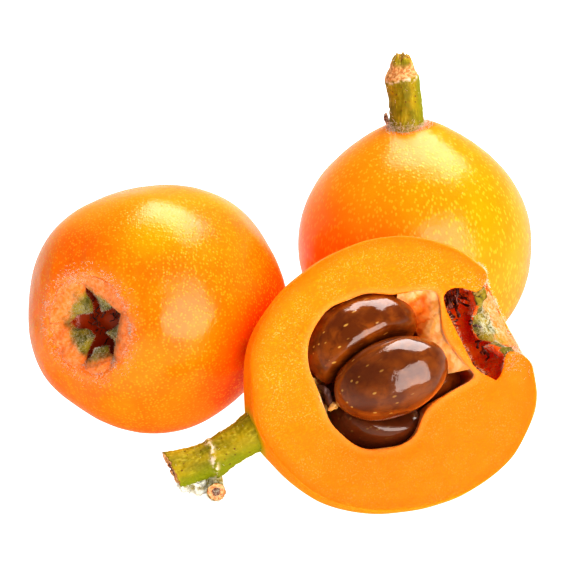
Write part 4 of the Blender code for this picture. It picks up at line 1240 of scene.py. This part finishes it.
# the cut fruit's stalk, with the stub of a side stalk at its joint
CUT_STALK = [(1.4, 0, -21.4, 3.55), (1.35, 0, -22.6, 3.5), (1.3, 0, -23.8, 3.25), (1.1, 0, -25.4, 2.95),
             (0.85, 0, -27.7, 2.85), (0.55, 0, -29.9, 2.9), (0.38, 0, -31.2, 3.05),
             (0.55, 0, -32.5, 2.9), (0.85, 0, -34.2, 2.85), (1.3, 0, -36.2, 2.9), (1.65, 0, -37.6, 2.95)]
CUT_STUB = [(-0.2, -0.8, -32.0, 1.5), (-1.8, -0.8, -32.2, 1.5), (-3.2, -0.3, -32.6, 1.5),
            (-4.1, 0.7, -32.9, 1.45), (-4.5, 1.9, -33.0, 1.45)]
CUT_WOOL = [(-0.1, -0.8, -37.0, 1.1), (-0.8, -0.8, -36.3, 1.5), (-1.4, -0.8, -35.5, 1.6),
            (-2.2, -0.7, -34.7, 1.6), (-3.2, -0.6, -33.9, 1.2)]
CUT_RING = (-31.2, 0.17)    # the joint's ring: where it crosses the core, and its slant
main = stalk(CUT_STALK, (0.3, 0.0, 0.0), 0.14, 400)
ring_bump = np.exp(-(past_ring(main[0], CUT_RING) / 0.4) ** 2)
main[0][:, :2] += (main[0][:, :2] - np.array((0.4, 0))) * (0.07 * ring_bump)[:, None]
in_fruit = main[0][:, 2] > STALK_FOOT
main[0][:, 1] = np.minimum(main[0][:, 1], np.where(in_fruit, CUT_HEIGHT - 0.5, math.inf))
stub = stalk(CUT_STUB, (0.0, 0.0, 0.0), 0.05, 410)
tuft = stalk(CUT_WOOL, (0.0, 0.0, 0.0), 0.2, 415)
tuft[0][:] += 0.25 * ripples(tuft[0], 1.5, 416)[:, None]
measures = stalk_measures(main[0], main[2], main[3], CUT_RING, (-0.9, -0.4, 0), -31.6, (-0.8, 0.3, 0))
stub_measures = {"end": stub[2], "pith": stub[3], "scar": np.zeros(len(stub[0])),
                 "woolly": 0.5 * soft_step(stub[0][:, 0], -3.6, -2.0),
                 "green": np.full(len(stub[0]), 0.3)}
tuft_measures = {key: np.zeros(len(tuft[0])) for key in measures}
tuft_measures["woolly"] += 1.0
tuft_measures["pith"] += 1.0
points, faces = gather((main[:2], stub[:2], tuft[:2]))
measures = {key: np.concatenate((measures[key], stub_measures[key], tuft_measures[key]))
            for key in measures}
cut_stalk = make_piece("cut_stalk", CUT, points, faces, bark_look, measures)
set_in_cluster(cut_stalk, "stem_bark", "cut_stem")

# the left fruit's stalk, cut short
path = [(0, 0, -20.6, 4.6), (0, 0, -21.8, 3.6), (0, 0, -23.2, 2.7), (0.1, 0, -25.6, 2.4),
        (0.3, 0, -28.4, 2.5)]
points, faces, end, pith = stalk(path, (0.3, -0.2, 0.0), 0.1, 420)
measures = stalk_measures(points, end, pith, NO_RING, (0.5, 0.5, 0), NO_WOOL, (0.5, 0.8, 0))
left_stalk = make_piece("left_stalk", LEFT, points, faces, bark_look, measures)
set_in_cluster(left_stalk, "stem_bark", "left_stem")

# the rear fruit's stalk, torn off at a joint, standing upright
REAR_RING = (-30.75, -0.175)
path = [(-1.1, 1.8, -19.5, 3.4), (-1.15, 1.6, -21.2, 3.1), (-1.2, 1.2, -23.5, 2.98),
        (-1.3, 0.7, -26.0, 2.95), (-1.6, 0.3, -28.6, 2.98), (-1.83, 0.1, -30.2, 3.1),
        (-1.85, 0, -31.1, 2.8), (-1.8, 0.1, -32.4, 2.2), (-1.8, 0.1, -33.4, 1.9), (-1.8, 0.2, -34.2, 1.4)]
points, faces, end, pith = stalk(path, (-0.1, 0.0, 0.0), 0.3, 430)
measures = stalk_measures(points, end, pith, REAR_RING, (-0.2, 0.9, 0), NO_WOOL, (1.0, 0.1, 0))
fibres = soft_step(past_ring(points, REAR_RING), 0.15, -0.65)
fibres = fibres * soft_step(points[:, 2] - 0.5 * points[:, 1], -34.4, -33.2)
measures["end"] = np.maximum(measures["end"] * 0.3, fibres * 0.9)
rear_stalk = make_piece("rear_stalk", REAR, points, faces, bark_look, measures)
set_in_cluster(rear_stalk, "stem_bark", "rear_stem")

# ---- The dry scale at the foot of the rear stalk -----------------------------------------
# A small dry bract, brown and pointed, that stands against the stalk where it meets the
# fruit.
share = np.linspace(0, 1, 24)[:, None]
side = np.linspace(-1, 1, 13)[None, :]
width = 1.5 * (1 - share ** 1.6) + 0.1
grid = np.stack((-4.5 - 0.6 * share + 0.5 * side ** 2, width * side + 0 * share,
                 -21.4 - 2.6 * share + 0 * side), axis=-1)
grid[..., 0] += 0.08 * ripples(grid.reshape(-1, 3), 1.2, 440).reshape(grid.shape[:2])
normals = grid_normals(grid)
points, faces = slab(grid + normals * 0.2, grid - normals * 0.2)
scale = make_piece("rear_dry_scale", REAR, points, faces, bristle_look)
set_in_cluster(scale, "dried_bits", "rear_bract")

# ---- The fuzz ----------------------------------------------------------------------------
# Loquats are downy: short pale hairs cover the calyx lobes and their rim, and matted wool
# is left on the stalks.  Every hair is a fine closed spike.
CALYX_DOWN = (0.45, 0.03, 0.5)      # each kind of hair: length, thickness and curl
LOBE_DOWN = (0.3, 0.022, 0.6)
FINE_WOOL = (0.5, 0.028, 0.7)
LONG_WOOL = (0.9, 0.035, 0.6)
LOBE_HAIRS = 500
CUT_STALK_HAIRS = 2600
REAR_STALK_HAIRS = 1500
REAR_FOOT_HAIRS = 900
down_look = Finish("pale_down", {"Roughness": 0.7})
down_look.colour(down_look.mix(down_look.noise(1.2), (0.93, 0.66, 0.50), (0.98, 0.86, 0.74)))
down_look.relief(down_look.noise(0.3), 0.04)
wool_look = Finish("grey_wool", {"Roughness": 0.8})
wool_look.colour(wool_look.mix(wool_look.noise(1.5), (0.74, 0.66, 0.46), (0.90, 0.86, 0.76)))
wool_look.relief(wool_look.noise(0.3), 0.04)


def grown_on(piece, fruit, count, chance, seed):
    """Pick roots on a piece by a chance that depends on the spot, with the ways out there."""
    rng = np.random.default_rng(seed)
    mesh = piece.data
    normals = np.empty(len(mesh.vertices) * 3)
    mesh.vertices.foreach_get("normal", normals)
    spots = np.empty(len(mesh.vertices) * 3)
    mesh.vertices.foreach_get("co", spots)
    spots = (spots.reshape(-1, 3) / MM - fruit["centre"]) @ fruit["turn"]
    normals = normals.reshape(-1, 3) @ fruit["turn"]
    weights = chance(spots)
    picked = rng.choice(len(spots), size=count, p=weights / weights.sum())
    loose = rng.normal(scale=0.16, size=(count, 3))
    loose -= normals[picked] * (loose * normals[picked]).sum(axis=1)[:, None]
    return spots[picked] + loose, normals[picked]


def calyx_chance(spots):
    """Most hairs close to the calyx, thinning out over the shoulder in patches."""
    radial = np.hypot(spots[:, 0], spots[:, 1])
    near = soft_step(radial, 11.0, 6.6) * soft_step(spots[:, 2], 16.5, 19.0) * (radial > 5.6)
    return near * (0.25 + soft_step(ripples(spots, 2.6, 501), -0.4, 0.6)) + 1e-9


for fruit, piece, title, count, seed in ((LEFT, left_fruit, "left", 5000, 511),
                                         (REAR, rear_fruit, "rear", 1500, 512),
                                         (CUT, cut_fruit, "cut", 5000, 513)):
    roots, ways = grown_on(piece, fruit, count, calyx_chance, seed)
    grow_fuzz(title + "_calyx_down", fruit, roots, ways, CALYX_DOWN, seed + 10, down_look)


def lobe_chance(spots):
    """Hairs stand on the lobes' upper sides, and not where a lobe grows out of the rim."""
    radial = np.hypot(spots[:, 0], spots[:, 1])
    return soft_step(radial, 6.2, 5.0) * (spots[:, 2] > 17.0) + 1e-9


for title, (fruit, *_) in LOBES.items():
    if fruit is REAR:
        continue
    piece = bpy.data.objects["calyx_lobe_" + title]
    roots, ways = grown_on(piece, fruit, LOBE_HAIRS, lobe_chance, 530)
    grow_fuzz("lobe_down_" + title, fruit, roots, ways, LOBE_DOWN, 540, wool_look)


def cut_stalk_wool(spots):
    """Wool under the outer part of the stalk, at the stub's root and where the stalk joins."""
    under = soft_step(spots @ np.array((-0.85, -0.5, 0)), 0.4, 1.8)
    outer = under * soft_step(spots[:, 2], -31.5, -33.0)
    joint = 0.5 * under * soft_step(spots[:, 2], -25.5, -23.5)
    ring = 0.4 * np.exp(-(past_ring(spots, CUT_RING) / 0.5) ** 2)
    return outer + joint + ring + 0.02


roots, ways = grown_on(cut_stalk, CUT, CUT_STALK_HAIRS, cut_stalk_wool, 551)
grow_fuzz("cut_stalk_wool", CUT, roots, ways, FINE_WOOL, 552, wool_look)


def rear_foot(spots):
    """Tufts where the stalk comes out of the fruit."""
    from_stalk = np.hypot(spots[:, 0] + 1.1, spots[:, 1] - 1.4)
    return soft_step(from_stalk, 4.6, 3.4) * (spots[:, 2] < -19) + 1e-9


roots, ways = grown_on(rear_stalk, REAR, REAR_STALK_HAIRS,
                       lambda spots: soft_step(spots[:, 2], -23.4, -22.2) + 0.01, 561)
more_roots, more_ways = grown_on(rear_fruit, REAR, REAR_FOOT_HAIRS, rear_foot, 563)
grow_fuzz("rear_stalk_wool", REAR, np.vstack((roots, more_roots)), np.vstack((ways, more_ways)),
          LONG_WOOL, 562, down_look)
